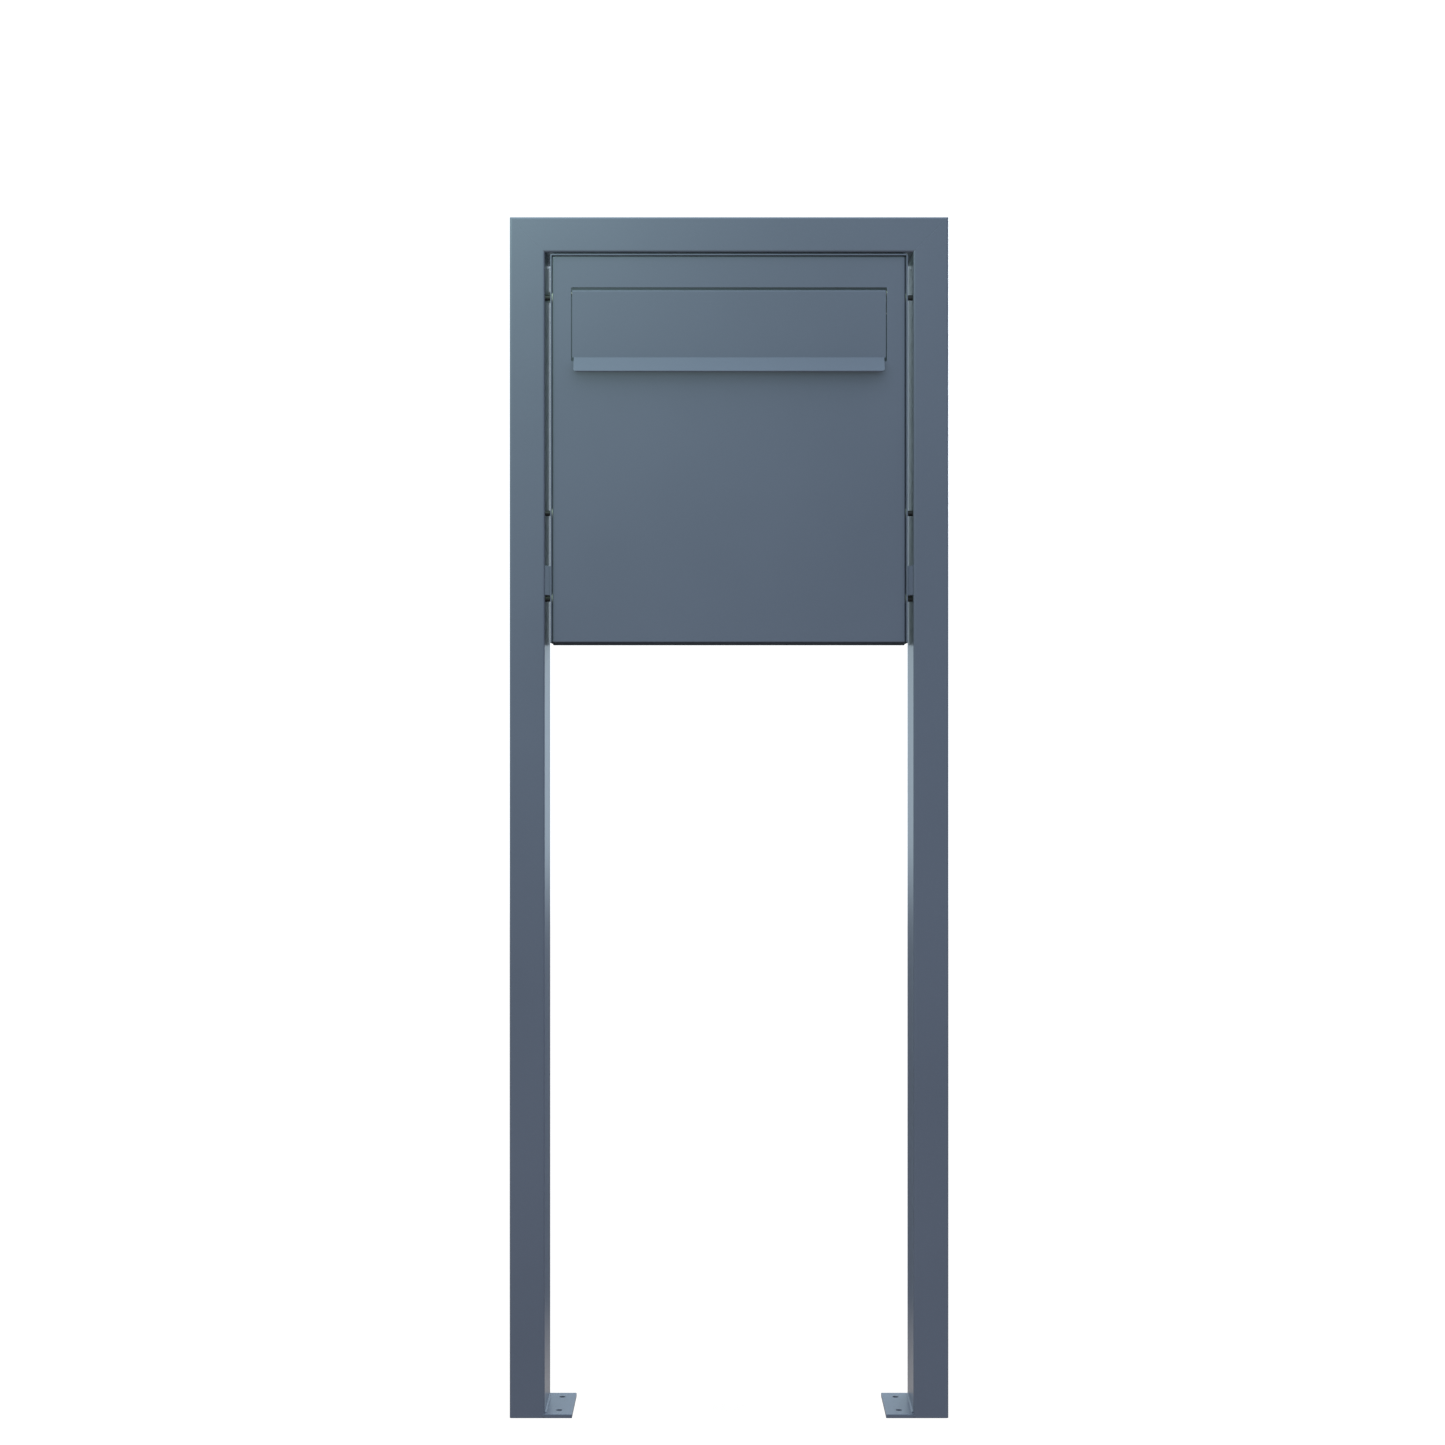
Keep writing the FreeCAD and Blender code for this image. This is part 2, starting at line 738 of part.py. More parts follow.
def make_flap_bushes():
    """A flanged bush in each end wall of the slot frame."""
    solids = []
    centre = (0, rod_y, rod_z)
    for side in SIDES.values():
        inner = side * (tray_half - bush_flange_thickness)
        flange = rod_along("x", centre, bush_flange_radius, inner, side * tray_half)
        outer = side * (tray_half + slot_sheet)
        spigot = rod_along("x", centre, bush_spigot_radius, side * tray_half, outer)
        bore = rod_along("x", centre, rod_radius, inner, outer)
        solids.append(fuse_all([flange, spigot]).cut(bore))
    return Part.makeCompound(solids)


def make_rod_clips():
    """A push-on clip outside each end wall, which keeps the rod in place."""
    solids = []
    for side in SIDES.values():
        start = tray_half + slot_sheet
        end = start + clip_thickness
        ring = tube_along("x", (0, rod_y, rod_z), clip_radius, rod_radius, side * start, side * end)
        solids.append(ring)
    return Part.makeCompound(solids)


def make_flap_spring():
    """A torsion spring round the rod's right end, swept in one piece.

    The wire runs up from an arm behind the flap, winds round the rod, and runs down in front of the
    slot frame's back. It is drawn round the Z axis and then laid along the rod.
    """
    radius = spring_mean_radius
    coil_length = spring_turns * spring_pitch
    bend = spring_arm_bend
    bend_inset = bend * (1 - math.sqrt(0.5))
    arm_end = FreeCAD.Vector(radius, -spring_leg_length, spring_arm_length)
    bend_start = FreeCAD.Vector(radius, -spring_leg_length, bend)
    bend_middle = FreeCAD.Vector(radius, -spring_leg_length + bend_inset, bend_inset)
    bend_end = FreeCAD.Vector(radius, -spring_leg_length + bend, 0)
    coil_start = FreeCAD.Vector(radius, 0, 0)
    coil_end = FreeCAD.Vector(-radius, 0, coil_length)
    rear_leg_end = FreeCAD.Vector(-radius, -spring_leg_length, coil_length)
    edges = [
        Part.LineSegment(arm_end, bend_start).toShape(),
        Part.Arc(bend_start, bend_middle, bend_end).toShape(),
        Part.LineSegment(bend_end, coil_start).toShape(),
    ]
    edges += Part.makeHelix(spring_pitch, coil_length, radius).Edges
    edges.append(Part.LineSegment(coil_end, rear_leg_end).toShape())
    section = Part.Wire([Part.makeCircle(spring_wire_radius, arm_end, AXES["z"])])
    spring = Part.Wire(edges).makePipeShell([section], True, False)
    outer_end = flap_half + hole_clearance + spring_wire_radius + coil_length
    turn = FreeCAD.Rotation(-AXES["y"], AXES["z"], -AXES["x"], "XYZ")
    spring.Placement = FreeCAD.Placement(FreeCAD.Vector(outer_end, rod_y, rod_z), turn)
    return spring


def make_flap_buffers():
    """Two rubber stops on the slot frame, just behind the closed flap."""
    solids = []
    for side in SIDES.values():
        centre = (side * (flap_half - buffer_from_side), 0, opening_bottom + buffer_above_opening)
        front = flap_back + buffer_gap
        stop = rod_along("y", centre, buffer_radius, front, tray_plate_front)
        solids.append(stop.makeFillet(buffer_radius / 3, edges_at(stop, "y", front)))
    return Part.makeCompound(solids)


# ---------------------------------------------------------------- rear door
def make_rear_door():
    """The door's outer sheet, wider than the casing."""
    plate = span_box((-door_half, door_half), (door_front, rear_y), (casing_bottom, casing_top))
    plate = plate.makeFillet(door_edge_radius, edges_at(plate, "y", rear_y) + edges_along(plate, "y"))
    lock_hole = lock_body_radius + lock_hole_clearance
    plate = plate.cut(rod_along("y", (lock_x, 0, lock_z), lock_hole, door_front, rear_y))
    return plate.cut(Part.makeCompound(leaf_rivet_holes(1, door_front)))


def make_door_stiffener():
    """A ring of folded sheet inside the door, standing in the casing's rear opening."""
    outer_half = casing_inside - return_flange - stiffener_clearance
    low = casing_bottom + casing_sheet + return_flange + stiffener_clearance
    high = casing_top - casing_sheet - return_flange - stiffener_clearance
    y_span = (door_front - stiffener_depth, door_front)
    outer = span_box((-outer_half, outer_half), y_span, (low, high))
    outer_folds = edges_at(outer, "y", y_span[0]) + edges_along(outer, "y")
    outer = outer.makeFillet(2 * stiffener_sheet, outer_folds)
    inner_half = outer_half - stiffener_sheet
    inner_low = low + stiffener_sheet
    inner_high = high - stiffener_sheet
    hollow_y = (y_span[0] + stiffener_sheet, door_front)
    hollow = span_box((-inner_half, inner_half), hollow_y, (inner_low, inner_high))
    inner_folds = edges_at(hollow, "y", hollow_y[0]) + edges_along(hollow, "y")
    hollow = hollow.makeFillet(stiffener_sheet, inner_folds)
    window_half = outer_half - stiffener_foot
    window_z = (low + stiffener_foot, high - stiffener_foot)
    window = rounded_window(window_half, window_z, (y_span[0], hollow_y[0]), stiffener_foot / 2)
    return outer.cut(hollow).cut(window)


def leaf_end(towards):
    """The x of a leaf's free edge: on the post for towards = -1, on the door for 1."""
    width = post_leaf_width if towards < 0 else door_leaf_width
    return hinge_x + towards * (hinge_knuckle_radius + width)


def leaf_rivet_places(towards):
    """The (x, z) centres of the rivets in the hinge leaves on one side of the hinge line."""
    x = leaf_end(towards) - towards * rivet_from_leaf_end
    places = []
    for height in hinge_heights:
        for sign in (-1, 1):
            places.append((x, height + sign * rivet_pitch / 2))
    return places


def leaf_rivet_holes(towards, inner_face):
    """Cutters for the rivets, from a leaf's outer face to the inner face of the sheet below it."""
    holes = []
    for x, z in leaf_rivet_places(towards):
        holes.append(rod_along("y", (x, 0, z), rivet_radius, inner_face, rear_y + hinge_leaf_sheet))
    return holes


def make_leaf_rivets(towards, inner_face):
    """Blind rivets through the hinge leaves on one side of the hinge line."""
    solids = []
    outer_face = rear_y + hinge_leaf_sheet
    for x, z in leaf_rivet_places(towards):
        centre = (x, 0, z)
        head = rod_along("y", centre, rivet_head_radius, outer_face, outer_face + rivet_head_height)
        head = head.makeFillet(rivet_head_round, edges_at(head, "y", outer_face + rivet_head_height))
        shank = rod_along("y", centre, rivet_radius, inner_face, outer_face)
        tail = rod_along("y", centre, rivet_tail_radius, inner_face - rivet_tail_length, inner_face)
        solids.append(fuse_all([head, shank, tail]))
    return Part.makeCompound(solids)


def make_hinge_leaf(towards, height):
    """One hinge leaf: a plate on the rear face and its share of the three knuckles.

    The leaf on the post (towards = -1) has the two outer knuckles, the leaf on the door the middle one.
    Only the middle knuckle's neck crosses the gap beside the casing.
    """
    low = height - hinge_leaf_length / 2
    third = hinge_leaf_length / 3
    own_thirds = (0, 2) if towards < 0 else (1,)
    bore = hinge_pin_radius if towards < 0 else hinge_pin_radius + hinge_pin_clearance
    far_x = leaf_end(towards)
    y_span = (rear_y, rear_y + hinge_leaf_sheet)
    leaf = span_box((hinge_x, far_x), y_span, (low, low + hinge_leaf_length))
    far_edges = [edge for edge in edges_along(leaf, "y") if abs(edge.CenterOfMass.x - far_x) < SAME_PLACE]
    leaf = leaf.makeFillet(leaf_corner_radius, far_edges)
    centre = (hinge_x, hinge_y, 0)
    room = hinge_knuckle_radius + hinge_knuckle_gap
    solids = [leaf]
    for index in range(3):
        start = low + index * third
        if index in own_thirds:
            knuckle_low = start + (0 if index == 0 else hinge_knuckle_gap / 2)
            knuckle_high = start + third - (0 if index == 2 else hinge_knuckle_gap / 2)
            solids.append(rod_along("z", centre, hinge_knuckle_radius, knuckle_low, knuckle_high))
    leaf = fuse_all(solids)
    for index in range(3):
        if index in own_thirds:
            continue
        start = low + index * third
        notch_low = start - hinge_knuckle_gap / 2
        notch_high = start + third + hinge_knuckle_gap / 2
        notch_x = (hinge_x - room, hinge_x + room if towards < 0 else -casing_half)
        notch_y = (rear_y, hinge_y + room)
        leaf = leaf.cut(span_box(notch_x, notch_y, (notch_low, notch_high)))
    leaf = leaf.cut(rod_along("z", centre, bore, low, low + hinge_leaf_length))
    return leaf.cut(Part.makeCompound(leaf_rivet_holes(towards, rear_y)))


def make_hinge_pins():
    """One headed pin through the knuckles of each hinge."""
    solids = []
    centre = (hinge_x, hinge_y, 0)
    for height in hinge_heights:
        low = height - hinge_leaf_length / 2
        high = height + hinge_leaf_length / 2
        shank = rod_along("z", centre, hinge_pin_radius, low, high)
        head = rod_along("z", centre, hinge_pin_head_radius, high, high + hinge_pin_head_height)
        foot = rod_along("z", centre, hinge_pin_head_radius, low - hinge_pin_head_height, low)
        solids.append(fuse_all([shank, head, foot]))
    return Part.makeCompound(solids)


# ---------------------------------------------------------------- lock
def make_lock_housing():
    """The lock's round head outside the door and its threaded body inside."""
    centre = (lock_x, 0, lock_z)
    head_back = rear_y + lock_head_height
    head = rod_along("y", centre, lock_head_radius, rear_y, head_back)
    head = head.makeFillet(lock_head_height / 2, edges_at(head, "y", head_back))
    body = rod_along("y", centre, lock_body_radius, lock_inner_end, rear_y)
    bore = rod_along("y", centre, plug_radius + plug_running_clearance, lock_inner_end, head_back)
    return fuse_all([head, body]).cut(bore)


def make_lock_nut():
    """The hexagonal nut that clamps the lock to the door sheet."""
    nut_front = door_front - lock_nut_thickness
    nut = hexagon_along("y", lock_x, lock_z, lock_nut_across_flats, nut_front, door_front)
    bore = lock_body_radius + thread_clearance
    return nut.cut(rod_along("y", (lock_x, 0, lock_z), bore, nut_front, door_front))


def make_lock_plug():
    """The part that the key turns, with a square tang for the cam."""
    centre = (lock_x, 0, lock_z)
    face = rear_y + lock_head_height - plug_recess
    barrel = rod_along("y", centre, plug_radius, lock_inner_end, face)
    half_tang = tang_side / 2
    tang_z = (lock_z - half_tang, lock_z + half_tang)
    tang = span_box((lock_x - half_tang, lock_x + half_tang), (cam_front, lock_inner_end), tang_z)
    key_slot = span_box(
        (lock_x - key_slot_width / 2, lock_x + key_slot_width / 2),
        (face - key_slot_depth, face),
        (lock_z - key_slot_length / 2, lock_z + key_slot_length / 2),
    )
    thread = rod_along("y", centre, cam_screw_radius, cam_front, lock_inner_end)
    return fuse_all([barrel, tang]).cut(key_slot).cut(thread)


def make_lock_cam():
    """The flat cam, hanging down from the tang when the lock is open."""
    low = lock_z - cam_length
    half_width = cam_width / 2
    cam_y = (cam_front, cam_back)
    cam = span_box((lock_x - half_width, lock_x + half_width), cam_y, (low, lock_z + half_width))
    cam = cam.makeFillet(cam_corner_radius, edges_along(cam, "y"))
    half_tang = tang_side / 2
    tang_z = (lock_z - half_tang, lock_z + half_tang)
    return cam.cut(span_box((lock_x - half_tang, lock_x + half_tang), cam_y, tang_z))


def make_cam_screw():
    """The screw that holds the cam on the plug's tang."""
    centre = (lock_x, 0, lock_z)
    head_front = cam_front - cam_screw_head_height
    head = rod_along("y", centre, cam_screw_head_radius, head_front, cam_front)
    head = head.makeFillet(cam_screw_head_height / 2, edges_at(head, "y", head_front))
    shank = rod_along("y", centre, cam_screw_radius, cam_front, lock_inner_end)
    return fuse_all([head, shank])


# ---------------------------------------------------------------- all nodes
def build_nodes():
    """Every named piece of the post box."""
    nodes = {}
    for name, side in SIDES.items():
        nodes[name + "_post"] = make_post(side)
        nodes[name + "_base_plate"] = make_base_plate(side)
        nodes[name + "_foot_plug"] = make_foot_plug(side)
        nodes[name + "_hanger"] = make_hanger(side)
    nodes["top_beam"] = make_top_beam()
    nodes["casing_hood"] = make_casing_hood()
    nodes["front_panel"] = make_front_panel()
    nodes["slot_frame"] = make_slot_frame()
    nodes["letter_ramp"] = make_letter_ramp()
    nodes["lock_keeper"] = make_lock_keeper()
    nodes["door_seal"] = make_door_seal()
    nodes["casing_screws"] = along_casing_screws(casing_screw)
    nodes["casing_washers"] = along_casing_screws(casing_washer)
    nodes["panel_shims"] = along_casing_screws(panel_shim)
    nodes["gap_spacers"] = along_casing_screws(gap_spacer)
    nodes["post_rivet_nuts"] = along_casing_screws(post_rivet_nut)
    nodes["hanger_screws"] = make_hanger_screws()
    nodes["flap"] = make_flap()
    nodes["flap_rod"] = make_flap_rod()
    nodes["flap_bushes"] = make_flap_bushes()
    nodes["rod_clips"] = make_rod_clips()
    nodes["flap_spring"] = make_flap_spring()
    nodes["flap_buffers"] = make_flap_buffers()
    nodes["rear_door"] = make_rear_door()
    nodes["door_stiffener"] = make_door_stiffener()
    for name, height in zip(("upper", "lower"), hinge_heights):
        nodes[name + "_post_leaf"] = make_hinge_leaf(-1, height)
        nodes[name + "_door_leaf"] = make_hinge_leaf(1, height)
    nodes["hinge_pins"] = make_hinge_pins()
    nodes["post_leaf_rivets"] = make_leaf_rivets(-1, rear_y - tube_wall)
    nodes["door_leaf_rivets"] = make_leaf_rivets(1, door_front)
    nodes["lock_housing"] = make_lock_housing()
    nodes["lock_nut"] = make_lock_nut()
    nodes["lock_plug"] = make_lock_plug()
    nodes["lock_cam"] = make_lock_cam()
    nodes["cam_screw"] = make_cam_screw()
    return nodes


os.makedirs("parts", exist_ok=True)
for node_name, node_shape in build_nodes().items():
    node_shape.exportStep("parts/" + node_name + ".step")
    print(node_name, "solids", len(node_shape.Solids), "valid", node_shape.isValid())
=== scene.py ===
"""Looks of a framed letter box: paint, metals, plastics, weld beads, door seal and studio."""

import json

import bpy
import numpy as np
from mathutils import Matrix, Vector


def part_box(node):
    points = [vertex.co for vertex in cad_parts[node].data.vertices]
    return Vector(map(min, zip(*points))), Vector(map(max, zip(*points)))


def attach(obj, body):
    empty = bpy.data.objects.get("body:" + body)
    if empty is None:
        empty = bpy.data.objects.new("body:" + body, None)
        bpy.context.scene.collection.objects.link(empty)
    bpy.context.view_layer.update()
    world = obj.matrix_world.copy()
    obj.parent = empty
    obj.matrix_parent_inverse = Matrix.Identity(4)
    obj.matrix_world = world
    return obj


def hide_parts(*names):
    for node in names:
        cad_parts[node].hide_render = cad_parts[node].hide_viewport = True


bl_info = {
    "name": "Framed letter box finishes",
    "version": (1, 0, 0),
    "blender": (4, 5, 0),
    "location": "View3D > Sidebar > Letter box",
    "description": "Paints and finishes a letter box in its frame, and adds its welds, seal and studio",
    "category": "Object",
}

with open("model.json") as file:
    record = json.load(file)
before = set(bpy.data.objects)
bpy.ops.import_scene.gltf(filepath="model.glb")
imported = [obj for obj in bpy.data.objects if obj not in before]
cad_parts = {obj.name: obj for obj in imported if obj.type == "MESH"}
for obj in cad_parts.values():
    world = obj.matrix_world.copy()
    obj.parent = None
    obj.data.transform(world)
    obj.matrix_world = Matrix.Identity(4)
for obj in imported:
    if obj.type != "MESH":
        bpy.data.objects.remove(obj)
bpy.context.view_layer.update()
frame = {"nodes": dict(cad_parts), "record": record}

SMALL_EDGE = 0.0002  # rounding of small parts' edges, in metres
NOISE_SPAN = (0.3, 0.7)  # nearly all of a noise's values lie in here
WHOLE = (0.0, 1.0)
FACING_BACK = Vector((0.0, 1.0, 0.0))
SENSOR_WIDTH = 36.0  # of the camera, in millimetres


def node_span(node):
    """The lowest and highest corners of a node as arrays."""
    low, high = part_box(node)
    return np.array(low), np.array(high)


def node_centre(node):
    """The middle of a node's box as an array."""
    low, high = node_span(node)
    return (low + high) / 2


# ---------------------------------------------------------------- sizes and colours


class LetterBoxSizes(bpy.types.PropertyGroup):
    """Sizes of the details that are added to the frame."""

    foot_weld_leg: bpy.props.FloatProperty(
        name="Foot weld leg",
        description="How far the weld reaches along the base plate and up the post",
        default=0.0016,
        min=0.001,
        unit="LENGTH",
    )
    hanger_weld_leg: bpy.props.FloatProperty(
        name="Hanger weld leg",
        description="How far the weld reaches along the hanger block and the post",
        default=0.0018,
        min=0.0005,
        unit="LENGTH",
    )
    weld_pitch: bpy.props.FloatProperty(
        name="Weld ripple pitch",
        description="Distance from one ripple of a weld bead to the next",
        default=0.0021,
        min=0.0005,
        unit="LENGTH",
    )
    weld_ripple: bpy.props.FloatProperty(
        name="Weld ripple height",
        description="Height of the ripples as a share of the bead",
        default=0.07,
        min=0.0,
        max=0.5,
        subtype="FACTOR",
    )
    seal_ribs: bpy.props.IntProperty(
        name="Seal ribs",
        description="How many soft ribs the door seal has across its width",
        default=2,
        min=1,
        max=5,
    )
    seal_width: bpy.props.FloatProperty(
        name="Seal width",
        description="Width of the door seal's strip",
        default=0.008,
        min=0.002,
        unit="LENGTH",
    )
    peel_size: bpy.props.FloatProperty(
        name="Orange peel size",
        description="Distance between the small waves in the powder coat",
        default=0.003,
        min=0.0005,
        unit="LENGTH",
    )
    peel_height: bpy.props.FloatProperty(
        name="Orange peel height",
        description="Height of the small waves in the powder coat",
        default=0.000008,
        min=0.0,
        precision=6,
        unit="LENGTH",
    )
    # Width of the edge band that is lightened as rubbed wear and as a painted highlight, and of the edge
    # rounding.
    edge_band: bpy.props.FloatProperty(
        name="Edge width",
        description="How far from an edge the finish is rubbed",
        default=0.0005,
        min=0.0,
        precision=5,
        unit="LENGTH",
    )
    camera_distance: bpy.props.FloatProperty(
        name="Camera distance",
        description="From the camera to the front of the frame",
        default=3.049,
        min=0.5,
        unit="LENGTH",
    )
    camera_height: bpy.props.FloatProperty(
        name="Camera height",
        description="Height of the camera above the floor",
        default=0.7528,
        min=0.0,
        unit="LENGTH",
    )
    camera_offset: bpy.props.FloatProperty(
        name="Camera offset",
        description="How far the camera stands to the right of the middle",
        default=-0.0071,
        unit="LENGTH",
    )
    camera_lens: bpy.props.FloatProperty(
        name="Camera lens",
        description="Focal length in millimetres on a 36 mm sensor",
        default=70.2,
        min=10.0,
    )
    room_radius: bpy.props.FloatProperty(
        name="Studio radius",
        description="Radius of the flat floor before it curves up into the wall",
        default=7.0,
        min=4.0,
        unit="LENGTH",
    )
    backdrop_gap: bpy.props.FloatProperty(
        name="Backdrop gap",
        description="From the surface that lights the object out to the backdrop that the camera sees",
        default=0.5,
        min=0.1,
        unit="LENGTH",
    )
    wall_bend: bpy.props.FloatProperty(
        name="Wall bend",
        description="Radius of the curve from the studio's floor to its wall",
        default=2.0,
        min=0.5,
        unit="LENGTH",
    )
    wall_height: bpy.props.FloatProperty(
        name="Wall height",
        description="Height of the studio's wall",
        default=7.0,
        min=3.0,
        unit="LENGTH",
    )
    key_offset: bpy.props.FloatVectorProperty(
        name="Key light place",
        description="From the frame's upper left front corner to the soft light",
        default=(-0.45, -0.5, 0.45),
        subtype="TRANSLATION",
        unit="LENGTH",
    )
    key_width: bpy.props.FloatProperty(
        name="Key light width",
        description="Width of the soft light above and to the left",
        default=0.5,
        min=0.01,
        unit="LENGTH",
    )
    key_power: bpy.props.FloatProperty(
        name="Key light power",
        description="Power of the soft light above and to the left",
        default=17.0,
        min=0.0,
        unit="POWER",
    )
    rear_offset: bpy.props.FloatVectorProperty(
        name="Rear light place",
        description="From the frame's upper right rear corner to the rear light",
        default=(0.7, 1.6, 0.2),
        subtype="TRANSLATION",
        unit="LENGTH",
    )
    rear_width: bpy.props.FloatProperty(
        name="Rear light width",
        description="Width of the soft light behind and to the right",
        default=0.9,
        min=0.01,
        unit="LENGTH",
    )
    rear_power: bpy.props.FloatProperty(
        name="Rear light power",
        description="Power of the soft light behind and to the right",
        default=20.0,
        min=0.0,
        unit="POWER",
    )
    sky_strength: bpy.props.FloatProperty(
        name="Sky strength",
        description="Brightness of the sky above the studio",
        default=1.75,
        min=0.0,
    )
    weld_from_front: bpy.props.FloatProperty(
        name="Weld set back",
        description="How far behind the front of the frame the foot weld starts",
        default=0.008,
        min=0.0,
        unit="LENGTH",
    )
    post_corner_radius: bpy.props.FloatProperty(
        name="Post corner radius",
        description="Radius of the post's long edges, which the ground weld at the feet fills up to",
        default=0.0025,
        min=0.0005,
        unit="LENGTH",
    )


def colour_property(name, description, default):
    """A colour that the user can change."""
    return bpy.props.FloatVectorProperty(
        name=name, description=description, default=default, subtype="COLOR", size=3, min=0.0, max=1.0
    )


class LetterBoxColours(bpy.types.PropertyGroup):
    """Colours of the finishes."""

    powder_coat: colour_property("Powder coat", "Paint of the frame and casing", (0.109, 0.118, 0.153))
    # Lighter edge colour: partly rubbed paint, partly a painted highlight along the edges.
    rubbed_edge_and_highlight: colour_property("Rubbed edge", "Paint where an edge is rubbed thin", (0.165, 0.185, 0.225))
    black_nylon: colour_property("Black nylon", "Spacer sleeves", (0.012, 0.012, 0.013))
    white_nylon: colour_property("White nylon", "Shims and bushes", (0.72, 0.70, 0.64))
    plug_plastic: colour_property("Plug plastic", "Plugs in the post feet", (0.022, 0.022, 0.024))
    rubber: colour_property("Rubber", "Door seal and flap buffers", (0.018, 0.018, 0.018))
    rubber_dust: colour_property("Rubber dust", "Dust on the rubber", (0.16, 0.155, 0.145))
    black_zinc: colour_property("Black zinc", "Screws", (0.028, 0.028, 0.032))
    zinc_film: colour_property("Zinc film", "Blue film on the black zinc", (0.040, 0.042, 0.060))
    rubbed_zinc: colour_property("Rubbed zinc", "Edges of the black zinc", (0.30, 0.30, 0.31))
    bright_zinc: colour_property("Bright zinc", "Washers, nuts, clips and cam", (0.60, 0.62, 0.65))
    straw_tint: colour_property("Straw tint", "Straw-coloured patches on bright zinc", (0.66, 0.61, 0.47))
    stainless: colour_property("Stainless steel", "Hinges, rod, rivets and spring", (0.56, 0.56, 0.55))
    satin_chrome: colour_property("Satin chrome", "Lock head and plug", (0.70, 0.70, 0.71))
    studio_white: colour_property("Studio white", "Floor and wall of the studio", (1.0, 1.0, 1.0))
    wall_light: colour_property("Wall light", "Light from the studio wall", (0.70, 0.86, 0.98))
    floor_light: colour_property("Floor light", "Light from the studio floor", (0.49, 0.47, 0.46))
    rear_floor_light: colour_property("Rear floor light", "Light from the floor behind", (0.10, 0.12, 0.15))
    sky_light: colour_property("Sky light", "Light from above the studio", (0.72, 0.86, 1.0))
    key_tint: colour_property("Key light tint", "Colour of the soft light", (0.72, 1.0, 0.80))
    paint_gloss: colour_property("Paint gloss", "Tint of the paint's reflections", (0.42, 0.52, 0.62))


def sizes():
    """The sizes in use."""
    return bpy.context.scene.letter_box_sizes


def colours():
    """The colours in use."""
    return bpy.context.scene.letter_box_colours


# ---------------------------------------------------------------- node helpers


def new_material(name, roughness, metallic=0.0):
    """A material with one Principled shader; gives the material, its tree and the shader."""
    material = bpy.data.materials.new(name)
    material.use_nodes = True
    tree = material.node_tree
    shader = tree.nodes["Principled BSDF"]
    shader.inputs["Roughness"].default_value = roughness
    shader.inputs["Metallic"].default_value = metallic
    return material, tree, shader


def object_place(tree, shift=(0.0, 0.0, 0.0), stretch=(1.0, 1.0, 1.0)):
    """Object coordinates in metres, moved by a shift and then stretched."""
    coordinates = tree.nodes.new("ShaderNodeTexCoord")
    mapping = tree.nodes.new("ShaderNodeMapping")
    mapping.vector_type = "POINT"
    mapping.inputs["Location"].default_value = shift
    mapping.inputs["Scale"].default_value = stretch
    tree.links.new(coordinates.outputs["Object"], mapping.inputs["Vector"])
    return mapping.outputs["Vector"]


def noise_of(tree, place, size, detail=2.0, distortion=0.0):
    """Soft noise whose lumps are about a size in metres across."""
    noise = tree.nodes.new("ShaderNodeTexNoise")
    noise.inputs["Scale"].default_value = 1.0 / size
    noise.inputs["Detail"].default_value = detail
    noise.inputs["Distortion"].default_value = distortion
    tree.links.new(place, noise.inputs["Vector"])
    return noise.outputs["Fac"]


def cells_of(tree, place, size):
    """Cells about a size in metres across; gives the distance from each cell's middle and its colour."""
    cells = tree.nodes.new("ShaderNodeTexVoronoi")
    cells.feature = "F1"
    cells.inputs["Scale"].default_value = 1.0 / size
    tree.links.new(place, cells.inputs["Vector"])
    return cells.outputs


def in_range(tree, value, source, target):
    """A value carried from a source range to a target range, and held within it."""
    ramp = tree.nodes.new("ShaderNodeMapRange")
    ramp.clamp = True
    ramp.inputs["From Min"].default_value = source[0]
    ramp.inputs["From Max"].default_value = source[1]
    ramp.inputs["To Min"].default_value = target[0]
    ramp.inputs["To Max"].default_value = target[1]
    tree.links.new(value, ramp.inputs["Value"])
    return ramp.outputs["Result"]


def combine(tree, operation, first, second):
    """Two values put together by a sum, a product or the like; the second may be a plain number."""
    maths = tree.nodes.new("ShaderNodeMath")
    maths.operation = operation
    tree.links.new(first, maths.inputs[0])
    if isinstance(second, float):
        maths.inputs[1].default_value = second
    else:
        tree.links.new(second, maths.inputs[1])
    return maths.outputs["Value"]


def mix_colours(tree, factor, first, second):
    """A colour between two; each is a colour or another node's output."""
    mix = tree.nodes.new("ShaderNodeMix")
    mix.data_type = "RGBA"
    tree.links.new(factor, mix.inputs[0])
    for socket, colour in ((mix.inputs[6], first), (mix.inputs[7], second)):
        if isinstance(colour, bpy.types.NodeSocket):
            tree.links.new(colour, socket)
        else:
            socket.default_value = (*colour, 1.0)
    return mix.outputs[2]


def bump_of(tree, height, distance, under=None):
    """A bump of a depth in metres, laid over another bump if one is given."""
    bump = tree.nodes.new("ShaderNodeBump")
    bump.inputs["Strength"].default_value = 1.0
    bump.inputs["Distance"].default_value = distance
    tree.links.new(height, bump.inputs["Height"])
    if under is not None:
        tree.links.new(under, bump.inputs["Normal"])
    return bump.outputs["Normal"]


def rounded_edges(tree, radius):
    """A normal that rounds the edges of a part by a radius in metres."""
    bevel = tree.nodes.new("ShaderNodeBevel")
    bevel.samples = 4
    bevel.inputs["Radius"].default_value = radius
    return bevel.outputs["Normal"]


